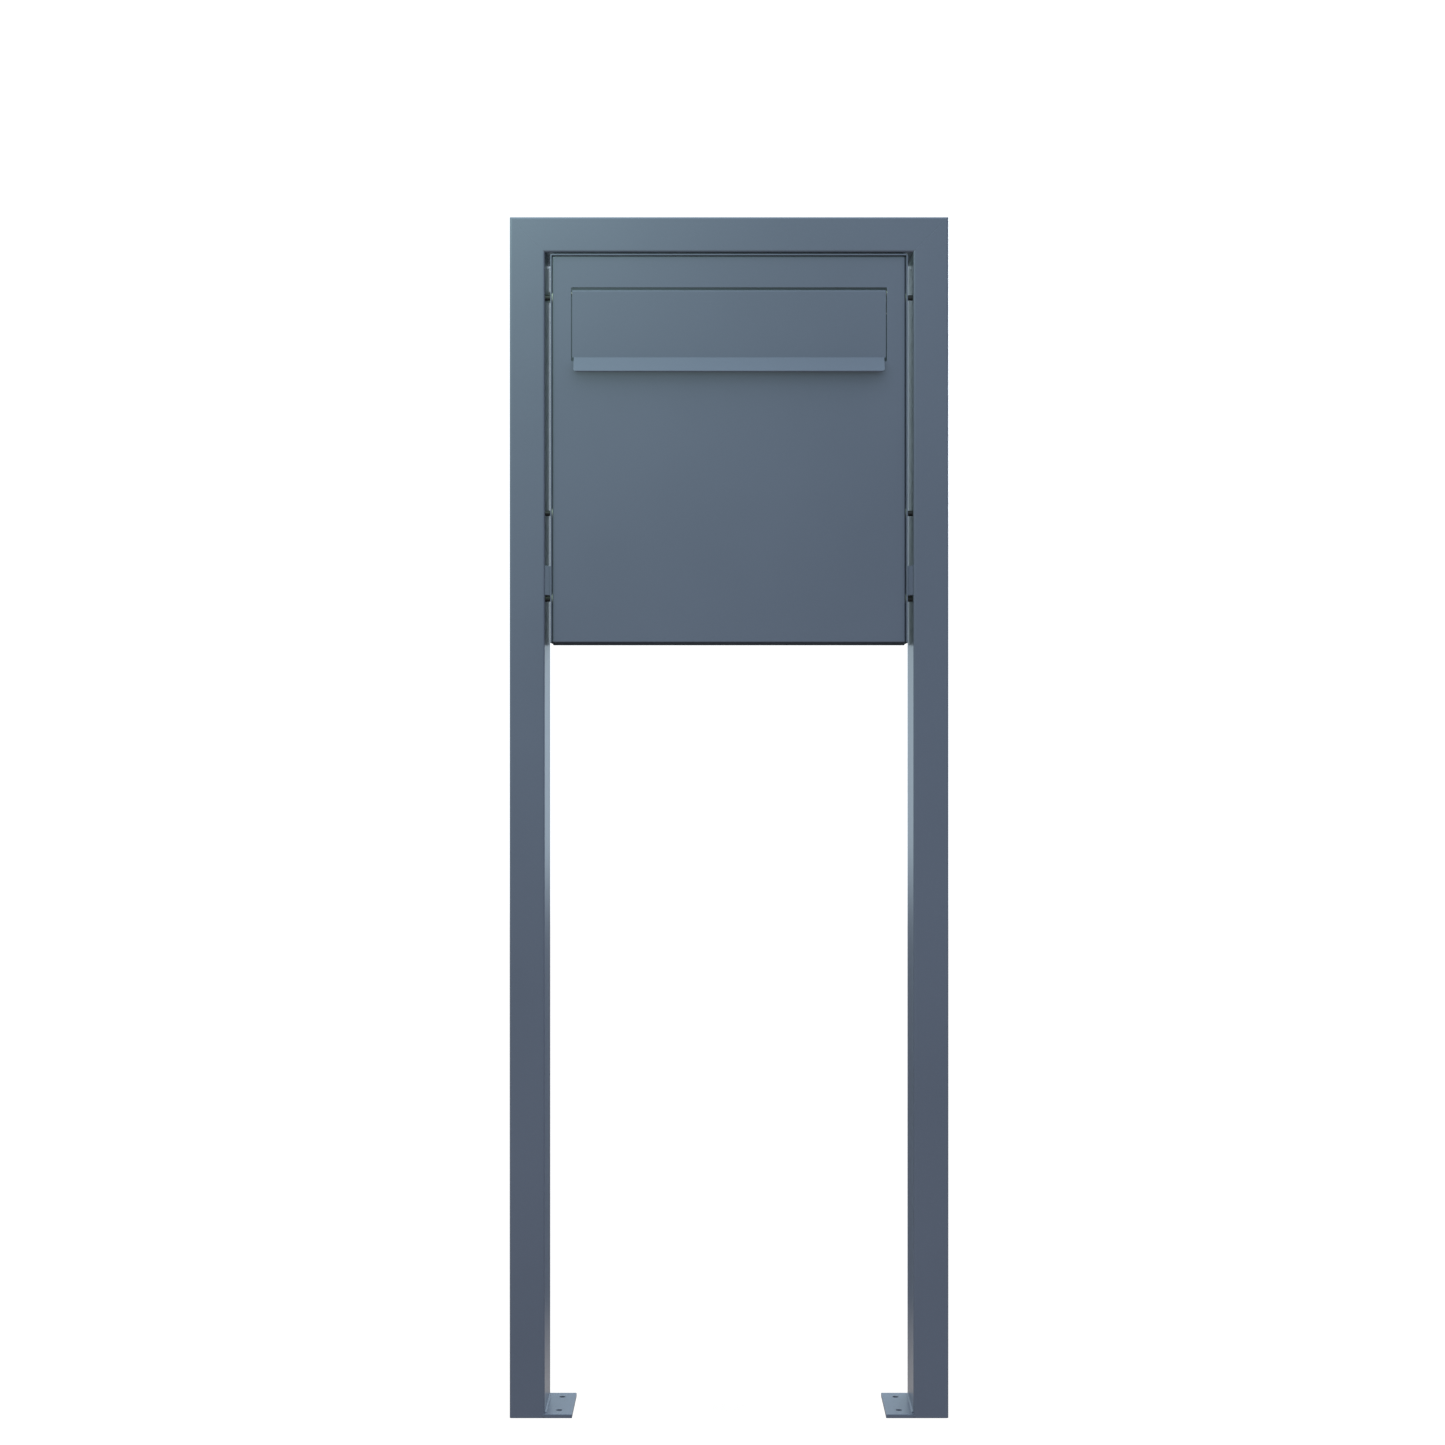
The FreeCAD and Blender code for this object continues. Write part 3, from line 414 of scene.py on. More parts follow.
def edge_mask(tree, radius):
    """Nearly 1 along the edges of a part and 0 on its faces, from how far rounding turns the normal."""
    geometry = tree.nodes.new("ShaderNodeNewGeometry")
    turned = tree.nodes.new("ShaderNodeVectorMath")
    turned.operation = "DOT_PRODUCT"
    tree.links.new(rounded_edges(tree, radius), turned.inputs[0])
    tree.links.new(geometry.outputs["Normal"], turned.inputs[1])
    return in_range(tree, turned.outputs["Value"], (0.99, 0.80), (0.0, 1.0))


def shade(colour, amount):
    """A colour made lighter or darker by a share."""
    return tuple(min(1.0, part * amount) for part in colour)


def mottled(tree, noise, colour, low_share, high_share, span=NOISE_SPAN):
    """A colour that a noise carries from one share of itself to another, over a span of the noise."""
    amount = in_range(tree, noise, span, WHOLE)
    return mix_colours(tree, amount, shade(colour, low_share), shade(colour, high_share))


# ---------------------------------------------------------------- finishes


def satin_powder_coat(name, shade_and_dull_below=None):
    """Blue-grey powder coat: orange peel, fine speckle, faint clouds, and edges lightened as rubbed wear and
    as a painted highlight.

    Up to a height, if one is given, its colour is darkened to a quarter of the paint as painted shade on the
    underside, and the thin overspray there is duller.
    """
    size = sizes()
    paint = tuple(colours().powder_coat)
    material, tree, shader = new_material(name, roughness=0.28)
    shader.inputs["Specular Tint"].default_value = (*colours().paint_gloss, 1.0)
    place = object_place(tree)
    clouds = noise_of(tree, place, size=0.22, detail=3.0)
    speckle = noise_of(tree, place, size=0.0009, detail=1.0)
    peel = noise_of(tree, place, size=size.peel_size, detail=2.0)
    grit = noise_of(tree, place, size=0.00055, detail=1.0)
    cloudy = mottled(tree, clouds, paint, 0.96, 1.05)
    specks = in_range(tree, speckle, (0.62, 0.78), (0.0, 0.2))
    speckled = mix_colours(tree, specks, cloudy, shade(paint, 1.45))
    patchy = in_range(tree, clouds, (0.35, 0.6), (0.35, 0.8))
    # Lighter paint along the edges, in patches: partly rubbed wear, partly a painted highlight on the
    # rounded edges.
    rub = combine(tree, "MULTIPLY", edge_mask(tree, size.edge_band), patchy)
    colour = mix_colours(tree, rub, speckled, tuple(colours().rubbed_edge_and_highlight))
    handled = noise_of(tree, place, size=0.16, detail=1.0)
    gloss = in_range(tree, handled, NOISE_SPAN, (0.275, 0.29))
    if shade_and_dull_below is not None:
        parts = tree.nodes.new("ShaderNodeSeparateXYZ")
        tree.links.new(place, parts.inputs["Vector"])
        fade = (shade_and_dull_below, shade_and_dull_below + 2 * size.edge_band)
        underside_painted_shade = in_range(tree, parts.outputs["Z"], fade, (1.0, 0.0))
        # Painted shade: below the height the colour darkens to a quarter of the paint.
        colour = mix_colours(tree, underside_painted_shade, colour, shade(paint, 0.25))
        added_roughness = combine(tree, "MULTIPLY", underside_painted_shade, 0.6)
        gloss = combine(tree, "ADD", gloss, added_roughness)
    tree.links.new(colour, shader.inputs["Base Color"])
    tree.links.new(gloss, shader.inputs["Roughness"])
    rounded = rounded_edges(tree, size.edge_band)
    waves = bump_of(tree, peel, size.peel_height, under=rounded)
    gritty = bump_of(tree, grit, size.peel_height / 8, under=waves)
    tree.links.new(gritty, shader.inputs["Normal"])
    return material


def moulded_nylon(name, colour, glow):
    """Moulded nylon: fine spark-eroded texture, faint flow marks and scuffed edges."""
    material, tree, shader = new_material(name, roughness=0.5)
    place = object_place(tree)
    flow = noise_of(tree, place, size=0.006, detail=3.0, distortion=1.5)
    texture = noise_of(tree, place, size=0.00022, detail=2.0)
    flowed = mottled(tree, flow, colour, 0.86, 1.12)
    scuffed = mix_colours(tree, edge_mask(tree, SMALL_EDGE), flowed, shade(colour, 1.6))
    tree.links.new(scuffed, shader.inputs["Base Color"])
    tree.links.new(in_range(tree, texture, NOISE_SPAN, (0.42, 0.62)), shader.inputs["Roughness"])
    rounded = rounded_edges(tree, SMALL_EDGE)
    tree.links.new(bump_of(tree, texture, 0.00001, under=rounded), shader.inputs["Normal"])
    shader.inputs["Subsurface Weight"].default_value = glow
    shader.inputs["Subsurface Radius"].default_value = (0.002, 0.0018, 0.0015)
    shader.inputs["Subsurface Scale"].default_value = 1.0
    return material


def moulded_polyethylene(name):
    """Black polyethylene: waxy, with sink clouds, flow lines and a fine drag texture."""
    colour = tuple(colours().plug_plastic)
    material, tree, shader = new_material(name, roughness=0.45)
    place = object_place(tree)
    sink = noise_of(tree, place, size=0.02, detail=2.0)
    upright = object_place(tree, stretch=(1.0, 1.0, 0.08))
    drag = noise_of(tree, upright, size=0.0006, detail=3.0)
    clouded = mottled(tree, sink, colour, 0.8, 1.3)
    tree.links.new(clouded, shader.inputs["Base Color"])
    tree.links.new(in_range(tree, drag, NOISE_SPAN, (0.36, 0.55)), shader.inputs["Roughness"])
    rounded = rounded_edges(tree, radius=2 * SMALL_EDGE)
    tree.links.new(bump_of(tree, drag, 0.00002, under=rounded), shader.inputs["Normal"])
    return material


def matt_rubber(name):
    """Black rubber: dry bloom in patches, a fine open grain and faint dust."""
    colour = tuple(colours().rubber)
    material, tree, shader = new_material(name, roughness=0.85)
    place = object_place(tree)
    bloom = noise_of(tree, place, size=0.012, detail=4.0)
    grain = cells_of(tree, place, size=0.0005)["Distance"]
    dust = noise_of(tree, place, size=0.0012, detail=2.0)
    bloomed = mottled(tree, bloom, colour, 1.0, 2.2, span=(0.4, 0.75))
    specks = in_range(tree, dust, (0.66, 0.8), (0.0, 0.5))
    dusty = mix_colours(tree, specks, bloomed, tuple(colours().rubber_dust))
    tree.links.new(dusty, shader.inputs["Base Color"])
    tree.links.new(in_range(tree, bloom, NOISE_SPAN, (0.75, 0.95)), shader.inputs["Roughness"])
    tree.links.new(bump_of(tree, grain, 0.00004), shader.inputs["Normal"])
    return material


def black_zinc_plate(name):
    """Black zinc on steel: blue-black, with bright rubbed edges and tool marks."""
    colour = tuple(colours().black_zinc)
    material, tree, shader = new_material(name, roughness=0.38, metallic=0.6)
    place = object_place(tree)
    film = noise_of(tree, place, size=0.0035, detail=3.0, distortion=1.0)
    across = object_place(tree, stretch=(12.0, 1.0, 1.0))
    turned = noise_of(tree, across, size=0.0012, detail=2.0)
    filming = in_range(tree, film, (0.35, 0.7), WHOLE)
    filmed = mix_colours(tree, filming, colour, tuple(colours().zinc_film))
    patchy = in_range(tree, film, (0.4, 0.6), (0.15, 0.75))
    rub = combine(tree, "MULTIPLY", edge_mask(tree, 0.9 * SMALL_EDGE), patchy)
    rubbed = mix_colours(tree, rub, filmed, tuple(colours().rubbed_zinc))
    tree.links.new(rubbed, shader.inputs["Base Color"])
    tree.links.new(in_range(tree, turned, NOISE_SPAN, (0.28, 0.48)), shader.inputs["Roughness"])
    rounded = rounded_edges(tree, SMALL_EDGE)
    tree.links.new(bump_of(tree, turned, 0.000008, under=rounded), shader.inputs["Normal"])
    return material


def bright_zinc_plate(name):
    """Bright zinc on steel: small spangles, a faint blue and straw tint, and dull patches."""
    colour = tuple(colours().bright_zinc)
    material, tree, shader = new_material(name, roughness=0.3, metallic=1.0)
    place = object_place(tree)
    spangle = cells_of(tree, place, size=0.0016)["Color"]
    tint = noise_of(tree, place, size=0.005, detail=2.0, distortion=0.8)
    dull = noise_of(tree, place, size=0.0009, detail=3.0)
    grey = tree.nodes.new("ShaderNodeRGBToBW")
    tree.links.new(spangle, grey.inputs["Color"])
    spangled = mix_colours(tree, grey.outputs["Val"], shade(colour, 0.88), shade(colour, 1.08))
    straw = in_range(tree, tint, (0.45, 0.75), (0.0, 0.45))
    tinted = mix_colours(tree, straw, spangled, tuple(colours().straw_tint))
    tree.links.new(tinted, shader.inputs["Base Color"])
    tree.links.new(in_range(tree, dull, NOISE_SPAN, (0.22, 0.42)), shader.inputs["Roughness"])
    rounded = rounded_edges(tree, radius=1.25 * SMALL_EDGE)
    tree.links.new(bump_of(tree, dull, 0.00001, under=rounded), shader.inputs["Normal"])
    return material


def brushed_stainless(name):
    """Stainless steel brushed up and down: long fine scratches, a few deep ones, soft smears."""
    colour = tuple(colours().stainless)
    material, tree, shader = new_material(name, roughness=0.3, metallic=1.0)
    along = object_place(tree, stretch=(1.0, 1.0, 0.02))
    scratches = noise_of(tree, along, size=0.00025, detail=3.0)
    deep = noise_of(tree, along, size=0.0008, detail=1.0)
    smear = noise_of(tree, object_place(tree), size=0.015, detail=3.0)
    brushed = mottled(tree, scratches, colour, 0.86, 1.1)
    scores = in_range(tree, deep, (0.70, 0.78), (0.0, 0.5))
    scored = mix_colours(tree, scores, brushed, shade(colour, 0.6))
    tree.links.new(scored, shader.inputs["Base Color"])
    streak = in_range(tree, scratches, NOISE_SPAN, (0.22, 0.38))
    smeared = in_range(tree, smear, (0.4, 0.7), (0.0, 0.10))
    tree.links.new(combine(tree, "ADD", streak, smeared), shader.inputs["Roughness"])
    rounded = rounded_edges(tree, SMALL_EDGE)
    tree.links.new(bump_of(tree, scratches, 0.000012, under=rounded), shader.inputs["Normal"])
    return material


def turned_satin_chrome(name):
    """Satin chrome turned on a lathe: rings round the lock's axis, with hairlines and prints."""
    colour = tuple(colours().satin_chrome)
    centre = node_centre("lock_housing")
    ring_pitch = 0.0014
    material, tree, shader = new_material(name, roughness=0.2, metallic=1.0)
    middle = object_place(tree, shift=(-centre[0], 0.0, -centre[2]))
    rings = tree.nodes.new("ShaderNodeTexWave")
    rings.wave_type = "RINGS"
    rings.rings_direction = "Y"
    rings.inputs["Scale"].default_value = 1.0 / ring_pitch
    rings.inputs["Distortion"].default_value = 1.2
    rings.inputs["Detail"].default_value = 2.0
    tree.links.new(middle, rings.inputs["Vector"])
    prints = noise_of(tree, middle, size=0.006, detail=4.0, distortion=0.7)
    upright = object_place(tree, stretch=(1.0, 1.0, 0.05))
    hairlines = noise_of(tree, upright, size=0.0003, detail=2.0)
    toned = mottled(tree, prints, colour, 1.0, 0.88, span=(0.4, 0.7))
    lines = in_range(tree, hairlines, (0.68, 0.78), (0.0, 0.4))
    lined = mix_colours(tree, lines, toned, shade(colour, 0.7))
    tree.links.new(lined, shader.inputs["Base Color"])
    tree.links.new(in_range(tree, prints, (0.35, 0.7), (0.14, 0.30)), shader.inputs["Roughness"])
    rounded = rounded_edges(tree, radius=1.5 * SMALL_EDGE)
    tree.links.new(bump_of(tree, rings.outputs["Fac"], 0.000006, under=rounded), shader.inputs["Normal"])
    return material


def studio_paper(name):
    """White seamless studio paper that glows softly, with a barely seen paper tooth."""
    white = tuple(colours().studio_white)
    material, tree, shader = new_material(name, roughness=0.9)
    tooth = noise_of(tree, object_place(tree), size=0.004, detail=2.0)
    toothed = mix_colours(tree, tooth, shade(white, 0.14), shade(white, 0.16))
    tree.links.new(toothed, shader.inputs["Base Color"])
    shader.inputs["Specular IOR Level"].default_value = 0.0
    shader.inputs["Emission Color"].default_value = (*white, 1.0)
    shader.inputs["Emission Strength"].default_value = 1.0
    return material


def studio_glow(name):
    """Even light from the studio's wall, less of it from the floor, and least from the floor behind."""
    material, tree, shader = new_material(name, roughness=0.9)
    parts = tree.nodes.new("ShaderNodeSeparateXYZ")
    tree.links.new(object_place(tree), parts.inputs["Vector"])
    behind = in_range(tree, parts.outputs["Y"], (0.1, 0.6), WHOLE)
    floor = mix_colours(tree, behind, tuple(colours().floor_light), tuple(colours().rear_floor_light))
    rise = in_range(tree, parts.outputs["Z"], (0.0, 0.25), WHOLE)
    glow = mix_colours(tree, rise, floor, tuple(colours().wall_light))
    shader.inputs["Base Color"].default_value = (0.0, 0.0, 0.0, 1.0)
    shader.inputs["Specular IOR Level"].default_value = 0.0
    tree.links.new(glow, shader.inputs["Emission Color"])
    shader.inputs["Emission Strength"].default_value = 1.0
    return material


def put_material(objects, material):
    """Gives every listed object one material in all its slots."""
    for thing in objects:
        if not thing.material_slots:
            thing.data.materials.append(material)
        for socket in thing.material_slots:
            socket.material = material


def nodes_of_slot(slot):
    """The frame's objects whose record names a material slot."""
    names = [part["node"] for part in frame["record"]["subparts"] if part["material_slot"] == slot]
    if not names:
        raise RuntimeError(f"no node has the material slot {slot}")
    return [frame["nodes"][name] for name in names]


# ---------------------------------------------------------------- surfaces

BEAD_ARC_POINTS = 9
ROWS_PER_RIPPLE = 10
LEAST_BEAD_ROWS = 24
CRESCENT_DEPTH = 0.45  # how far a ripple lags at the bead's middle, as a share of its pitch
BEAD_FLATTENING = 0.22  # share taken off the arc towards the chord
BEAD_ROOT_DEPTH = 0.12  # how far the bead is sunk into the metal, as a share of its leg
BEAD_END_SHARE = 0.03  # what is left of the bead at its very ends
BEAD_WAVES = ((0.04, 190.0, 0.0), (0.03, 431.0, 1.3))  # share of the leg, radians a metre, and phase


def signed_volume(points, faces):
    """Volume inside a closed quad surface; it is negative if the faces point inwards."""
    corners = points[faces]
    first = np.einsum("ij,ij->i", corners[:, 0], np.cross(corners[:, 1], corners[:, 2]))
    second = np.einsum("ij,ij->i", corners[:, 0], np.cross(corners[:, 2], corners[:, 3]))
    return (first.sum() + second.sum()) / 6


def ring_faces(rows, columns, closed_rows):
    """Quads of a grid of rings: each ring closes on itself, and the rows close if asked."""
    last_row = rows if closed_rows else rows - 1
    row, column = np.meshgrid(np.arange(last_row), np.arange(columns), indexing="ij")
    next_row = (row + 1) % rows
    next_column = (column + 1) % columns
    quads = np.stack(
        [
            row * columns + column,
            row * columns + next_column,
            next_row * columns + next_column,
            next_row * columns + column,
        ],
        axis=-1,
    )
    return quads.reshape(-1, 4)


def piece_from_rings(name, rings, closed_rows):
    """A closed mesh from rings of points, with flat caps on its two ends where the rows don't close."""
    rows, columns = rings.shape[:2]
    points = rings.reshape(-1, 3)
    faces = ring_faces(rows, columns, closed_rows)
    caps = []
    if not closed_rows:
        caps = [np.arange(columns)[::-1], (rows - 1) * columns + np.arange(columns)]
    if signed_volume(points, faces) < 0:
        faces = faces[:, ::-1]
        caps = [cap[::-1] for cap in caps]
    mesh = bpy.data.meshes.new(name)
    mesh.from_pydata(points.tolist(), [], faces.tolist() + [cap.tolist() for cap in caps])
    mesh.polygons.foreach_set("use_smooth", np.repeat(True, len(mesh.polygons)))
    mesh.validate()
    mesh.update()
    piece = bpy.data.objects.new(name, mesh)
    bpy.context.scene.collection.objects.link(piece)
    return piece


def weld_bead(name, start, end, first_side, second_side, leg):
    """A fillet weld along a line in an inside corner.

    A ring's points go round a quarter of a rounded bead: at angle a, from 0 to 90 degrees, the bead
    lies at leg * (cos a, sin a) on the two sides, flattened towards the chord and swollen by ripples,
    and the ring closes through a point sunk into the corner. Along the line the bead has a sawtooth
    of crescents, later at the middle of the arc than at its toes, and it fades out at both ends.
    """
    start, end = np.array(start), np.array(end)
    first_side, second_side = np.array(first_side), np.array(second_side)
    length = np.linalg.norm(end - start)
    pitch = sizes().weld_pitch
    rows = max(LEAST_BEAD_ROWS, int(length / pitch * ROWS_PER_RIPPLE))
    along = np.linspace(0.0, length, rows)[:, None]
    angle = np.linspace(0.0, np.pi / 2, BEAD_ARC_POINTS)[None, :]
    crescent_delay = CRESCENT_DEPTH * pitch * np.sin(2 * angle)
    phase = ((along - crescent_delay) / pitch) % 1.0
    ripple = 1.0 + sizes().weld_ripple * (np.sin(np.pi * phase**1.6) - 0.5) * np.sin(2 * angle)
    wander = 1.0 + sum(share * np.sin(along * rate + phase_shift) for share, rate, phase_shift in BEAD_WAVES)
    fade = np.clip(np.minimum(along, length - along) / leg, 0.0, 1.0)
    fade = np.sqrt(1.0 - (1.0 - fade) ** 2) * (1.0 - BEAD_END_SHARE) + BEAD_END_SHARE
    flatten = 1.0 - BEAD_FLATTENING * np.sin(2 * angle)
    reach = leg * fade * wander * ripple * flatten
    arc = (
        (start + along * (end - start) / length)[:, None, :]
        + (reach * np.cos(angle))[..., None] * first_side
        + (reach * np.sin(angle))[..., None] * second_side
    )
    depth = BEAD_ROOT_DEPTH * leg
    sunk = -depth * (first_side + second_side)
    corner = (start + along * (end - start) / length)[:, None, :] + sunk
    toe_first = arc[:, :1] - depth * second_side
    toe_second = arc[:, -1:] - depth * first_side
    rings = np.concatenate([toe_first, arc, toe_second, corner], axis=1)
    return piece_from_rings(name, rings, closed_rows=False)


def rounded_frame_path(low, high, radius, corner_steps):
    """Points round an upright rectangle with rounded corners, and the outward direction at each.

    Each corner is a quarter circle; the straight runs are the steps between two corners.
    """
    quarter = np.linspace(0.0, np.pi / 2, corner_steps)
    centres = np.array(
        [
            [high[0] - radius, high[1] - radius],
            [low[0] + radius, high[1] - radius],
            [low[0] + radius, low[1] + radius],
            [high[0] - radius, low[1] + radius],
        ]
    )
    angles = quarter[None, :] + (np.pi / 2) * np.arange(4)[:, None]
    outward = np.stack([np.cos(angles), np.sin(angles)], axis=-1)
    points = centres[:, None, :] + radius * outward
    return points.reshape(-1, 2), outward.reshape(-1, 2)


def ground_weld(name, corner, towards, height):
    """Weld metal ground flush in the notch between a post's rounded edge and a base plate's end.

    The section runs round a quarter circle, the post's edge, and back along the square corner that the
    circle leaves open. It is carried straight up, and its last ring is drawn in to a soft top.
    """
    radius = sizes().post_corner_radius
    side, depth = towards
    angle = np.linspace(0.0, np.pi / 2, 10)
    centre = np.array([corner[0] - side * radius, corner[1] - depth * radius])
    sunk = radius * 0.96
    arc = centre + sunk * np.stack([side * np.cos(angle), depth * np.sin(angle)], axis=-1)
    flush = radius * 0.985
    square = [[0.0, depth], [side * 0.5, depth], [side, depth], [side, depth * 0.5]]
    outer = centre + flush * np.array(square)
    section = np.concatenate([arc, outer])
    middle = section.mean(axis=0)
    heights = np.array([0.0, 0.45, 0.85, 1.0]) * height
    draws = np.array([1.0, 1.0, 1.0, 0.85])
    rings = np.empty((len(heights), len(section), 3))
    rings[..., :2] = middle + (section - middle)[None, :, :] * draws[:, None, None]
    rings[..., 2] = heights[:, None]
    return piece_from_rings(name, rings, closed_rows=False)


def ribbed_seal(name, node, ribs):
    """A flat foam seal with soft ribs, laid in a ring on the rear of the casing.

    A ring's points go once round the strip's section. Across the width w, the free face stands at the
    strip's thickness less a cosine valley between ribs, and its two outer edges fall away in an
    ellipse; the glued face is flat. The section is carried round a rounded rectangle.
    """
    low, high = node_span(node)
    width = sizes().seal_width
    thickness = high[1] - low[1]
    inner_radius = 0.0005
    valley_floor = 0.55
    across = np.linspace(-1.0, 1.0, 12 * ribs + 9)
    shoulder = np.sqrt(np.clip(1.0 - np.abs(across) ** 8, 0.0, 1.0))
    valley = 0.5 - 0.5 * np.cos(np.pi * ribs * (across + 1.0))
    height = thickness * shoulder * (valley_floor + (1.0 - valley_floor) * valley)
    free_face = np.stack([across * width / 2, low[1] + height], axis=-1)
    glued_face = np.stack([across[::-1] * width / 2, np.repeat(low[1], len(across))], axis=-1)
    section = np.concatenate([free_face, glued_face[1:-1]])
    middle_low = (low[0] + width / 2, low[2] + width / 2)
    middle_high = (high[0] - width / 2, high[2] - width / 2)
    path, outward = rounded_frame_path(middle_low, middle_high, width / 2 + inner_radius, corner_steps=7)
    rings = np.empty((len(path), len(section), 3))
    rings[..., 0] = path[:, None, 0] + outward[:, None, 0] * section[None, :, 0]
    rings[..., 1] = section[None, :, 1]
    rings[..., 2] = path[:, None, 1] + outward[:, None, 1] * section[None, :, 0]
    return piece_from_rings(name, rings, closed_rows=True)


def studio_bowl(name, radius):
    """A round floor that curves up into a wall.

    A profile of radius and height turned once round the vertical axis: flat out to the radius, then a
    quarter circle, then straight up.
    """
    curve = np.linspace(0.0, np.pi / 2, 12)
    bend = sizes().wall_bend
    floor_radii = np.array([0.02, 0.5, 1.0, 2.0, 4.0, radius])
    bend_radii = radius + bend * np.sin(curve[1:])
    bend_heights = bend * (1.0 - np.cos(curve[1:]))
    radii = np.concatenate([floor_radii, bend_radii, [radius + bend]])
    heights = np.concatenate([np.zeros(len(floor_radii)), bend_heights, [sizes().wall_height]])
    turn = np.linspace(0.0, 2 * np.pi, 96, endpoint=False)
    rings = np.empty((len(radii), len(turn), 3))
    rings[..., 0] = radii[:, None] * np.cos(turn)[None, :]
    rings[..., 1] = radii[:, None] * np.sin(turn)[None, :]
    rings[..., 2] = heights[:, None]
    mesh = bpy.data.meshes.new(name)
    faces = ring_faces(len(radii), len(turn), closed_rows=False)
    middle = [list(range(len(turn)))]
    mesh.from_pydata(rings.reshape(-1, 3).tolist(), [], faces.tolist() + middle)
    mesh.polygons.foreach_set("use_smooth", np.repeat(True, len(mesh.polygons)))
    mesh.update()
    bowl = bpy.data.objects.new(name, mesh)
    bpy.context.scene.collection.objects.link(bowl)
    return bowl


# ---------------------------------------------------------------- operators


class LETTERBOX_OT_studio(bpy.types.Operator):
    """Make the studio floor and wall, the lights and the camera"""

    bl_idname = "letter_box.studio"
    bl_label = "Studio"

    def execute(self, context):
        size = sizes()
        backdrop = studio_bowl("studio_backdrop", size.room_radius + size.backdrop_gap)
        put_material([backdrop], studio_paper("studio_paper"))
        for light_path in ("diffuse", "glossy", "transmission", "shadow"):
            setattr(backdrop, f"visible_{light_path}", False)
        fill = studio_bowl("studio_fill", size.room_radius)
        put_material([fill], studio_glow("studio_glow"))
        fill.visible_camera = False
        self.add_world(context)
        self.add_key_light()
        self.add_rear_light()
        self.add_camera(context)
        context.scene.view_settings.view_transform = "Standard"
        return {"FINISHED"}

    def add_world(self, context):
        """A plain white sky above the studio."""
        world = bpy.data.worlds.new("studio_sky")
        world.use_nodes = True
        background = world.node_tree.nodes["Background"]
        background.inputs["Color"].default_value = (*colours().sky_light, 1.0)
        background.inputs["Strength"].default_value = sizes().sky_strength
        context.scene.world = world

    def add_key_light(self):
        """A square soft light in front of the frame's upper left corner, facing it squarely.

        It casts no shadows, so that the side gaps and the panel below the lip stay light.
        """
        size = sizes()
        low, high = node_span("top_beam")
        place = Vector((low[0], low[1], high[2])) + Vector(size.key_offset)
        tint = tuple(colours().key_tint)
        light = self.add_soft_light("key_light", place, FACING_BACK, size.key_width, size.key_power, tint)
        light.use_shadow = False

    def add_rear_light(self):
        """A wide soft light behind the frame to the right, facing its middle."""
        size = sizes()
        _, high = node_span("top_beam")
        place = Vector(high) + Vector(size.rear_offset)
        middle = Vector((0.0, high[1], high[2] / 2))
        tint = tuple(colours().sky_light)
        self.add_soft_light("rear_light", place, middle - place, size.rear_width, size.rear_power, tint)

    def add_soft_light(self, name, place, direction, width, power, tint):
        """Make a square light that the camera doesn't see, and return its data."""
        light = bpy.data.lights.new(name, "AREA")
        light.shape = "SQUARE"
        light.size = width
        light.energy = power
        light.color = tint
        holder = bpy.data.objects.new(name, light)
        holder.location = place
        holder.rotation_euler = direction.to_track_quat("-Z", "Y").to_euler()
        holder.visible_camera = False
        bpy.context.scene.collection.objects.link(holder)
        return light

    def add_camera(self, context):
        """A level camera that looks straight at the front."""
        size = sizes()
        low, _ = node_span("left_post")
        camera = bpy.data.cameras.new("front_camera")
        camera.lens = size.camera_lens
        camera.sensor_width = SENSOR_WIDTH
        holder = bpy.data.objects.new("front_camera", camera)
        holder.location = (size.camera_offset, low[1] - size.camera_distance, size.camera_height)
        holder.rotation_euler = FACING_BACK.to_track_quat("-Z", "Y").to_euler()
        context.scene.collection.objects.link(holder)
        context.scene.camera = holder


class LETTERBOX_OT_paint_frame(bpy.types.Operator):
    """Powder coat the posts, the beam, the base plates and the hanger blocks"""

    bl_idname = "letter_box.paint_frame"
    bl_label = "Frame paint"

    def execute(self, context):
        put_material(nodes_of_slot("frame_paint"), satin_powder_coat("frame_powder_coat"))
        return {"FINISHED"}


class LETTERBOX_OT_paint_casing(bpy.types.Operator):
    """Powder coat the casing, the front panel, the flap, the door and their sheet parts"""

    bl_idname = "letter_box.paint_casing"
    bl_label = "Casing paint"

    def execute(self, context):
        # Below this height the front panel's underside gets painted shade and a duller coat.
        underside_painted_shade = float(node_span("front_panel")[0][2]) + sizes().edge_band
        paint = satin_powder_coat("casing_powder_coat", shade_and_dull_below=underside_painted_shade)
        put_material(nodes_of_slot("casing_paint"), paint)
        return {"FINISHED"}


class LETTERBOX_OT_plastics(bpy.types.Operator):
    """Finish the spacers, shims, bushes, foot plugs and buffers"""

    bl_idname = "letter_box.plastics"
    bl_label = "Nylon, plastic and rubber"

    def execute(self, context):
        colour = colours()
        black = moulded_nylon("black_moulded_nylon", tuple(colour.black_nylon), glow=0.0)
        white = moulded_nylon("white_moulded_nylon", tuple(colour.white_nylon), glow=0.2)
        put_material(nodes_of_slot("black_nylon"), black)
        put_material(nodes_of_slot("white_nylon"), white)
        put_material(nodes_of_slot("plug_plastic"), moulded_polyethylene("black_polyethylene"))
        put_material(nodes_of_slot("black_rubber"), matt_rubber("black_rubber_moulding"))
        return {"FINISHED"}


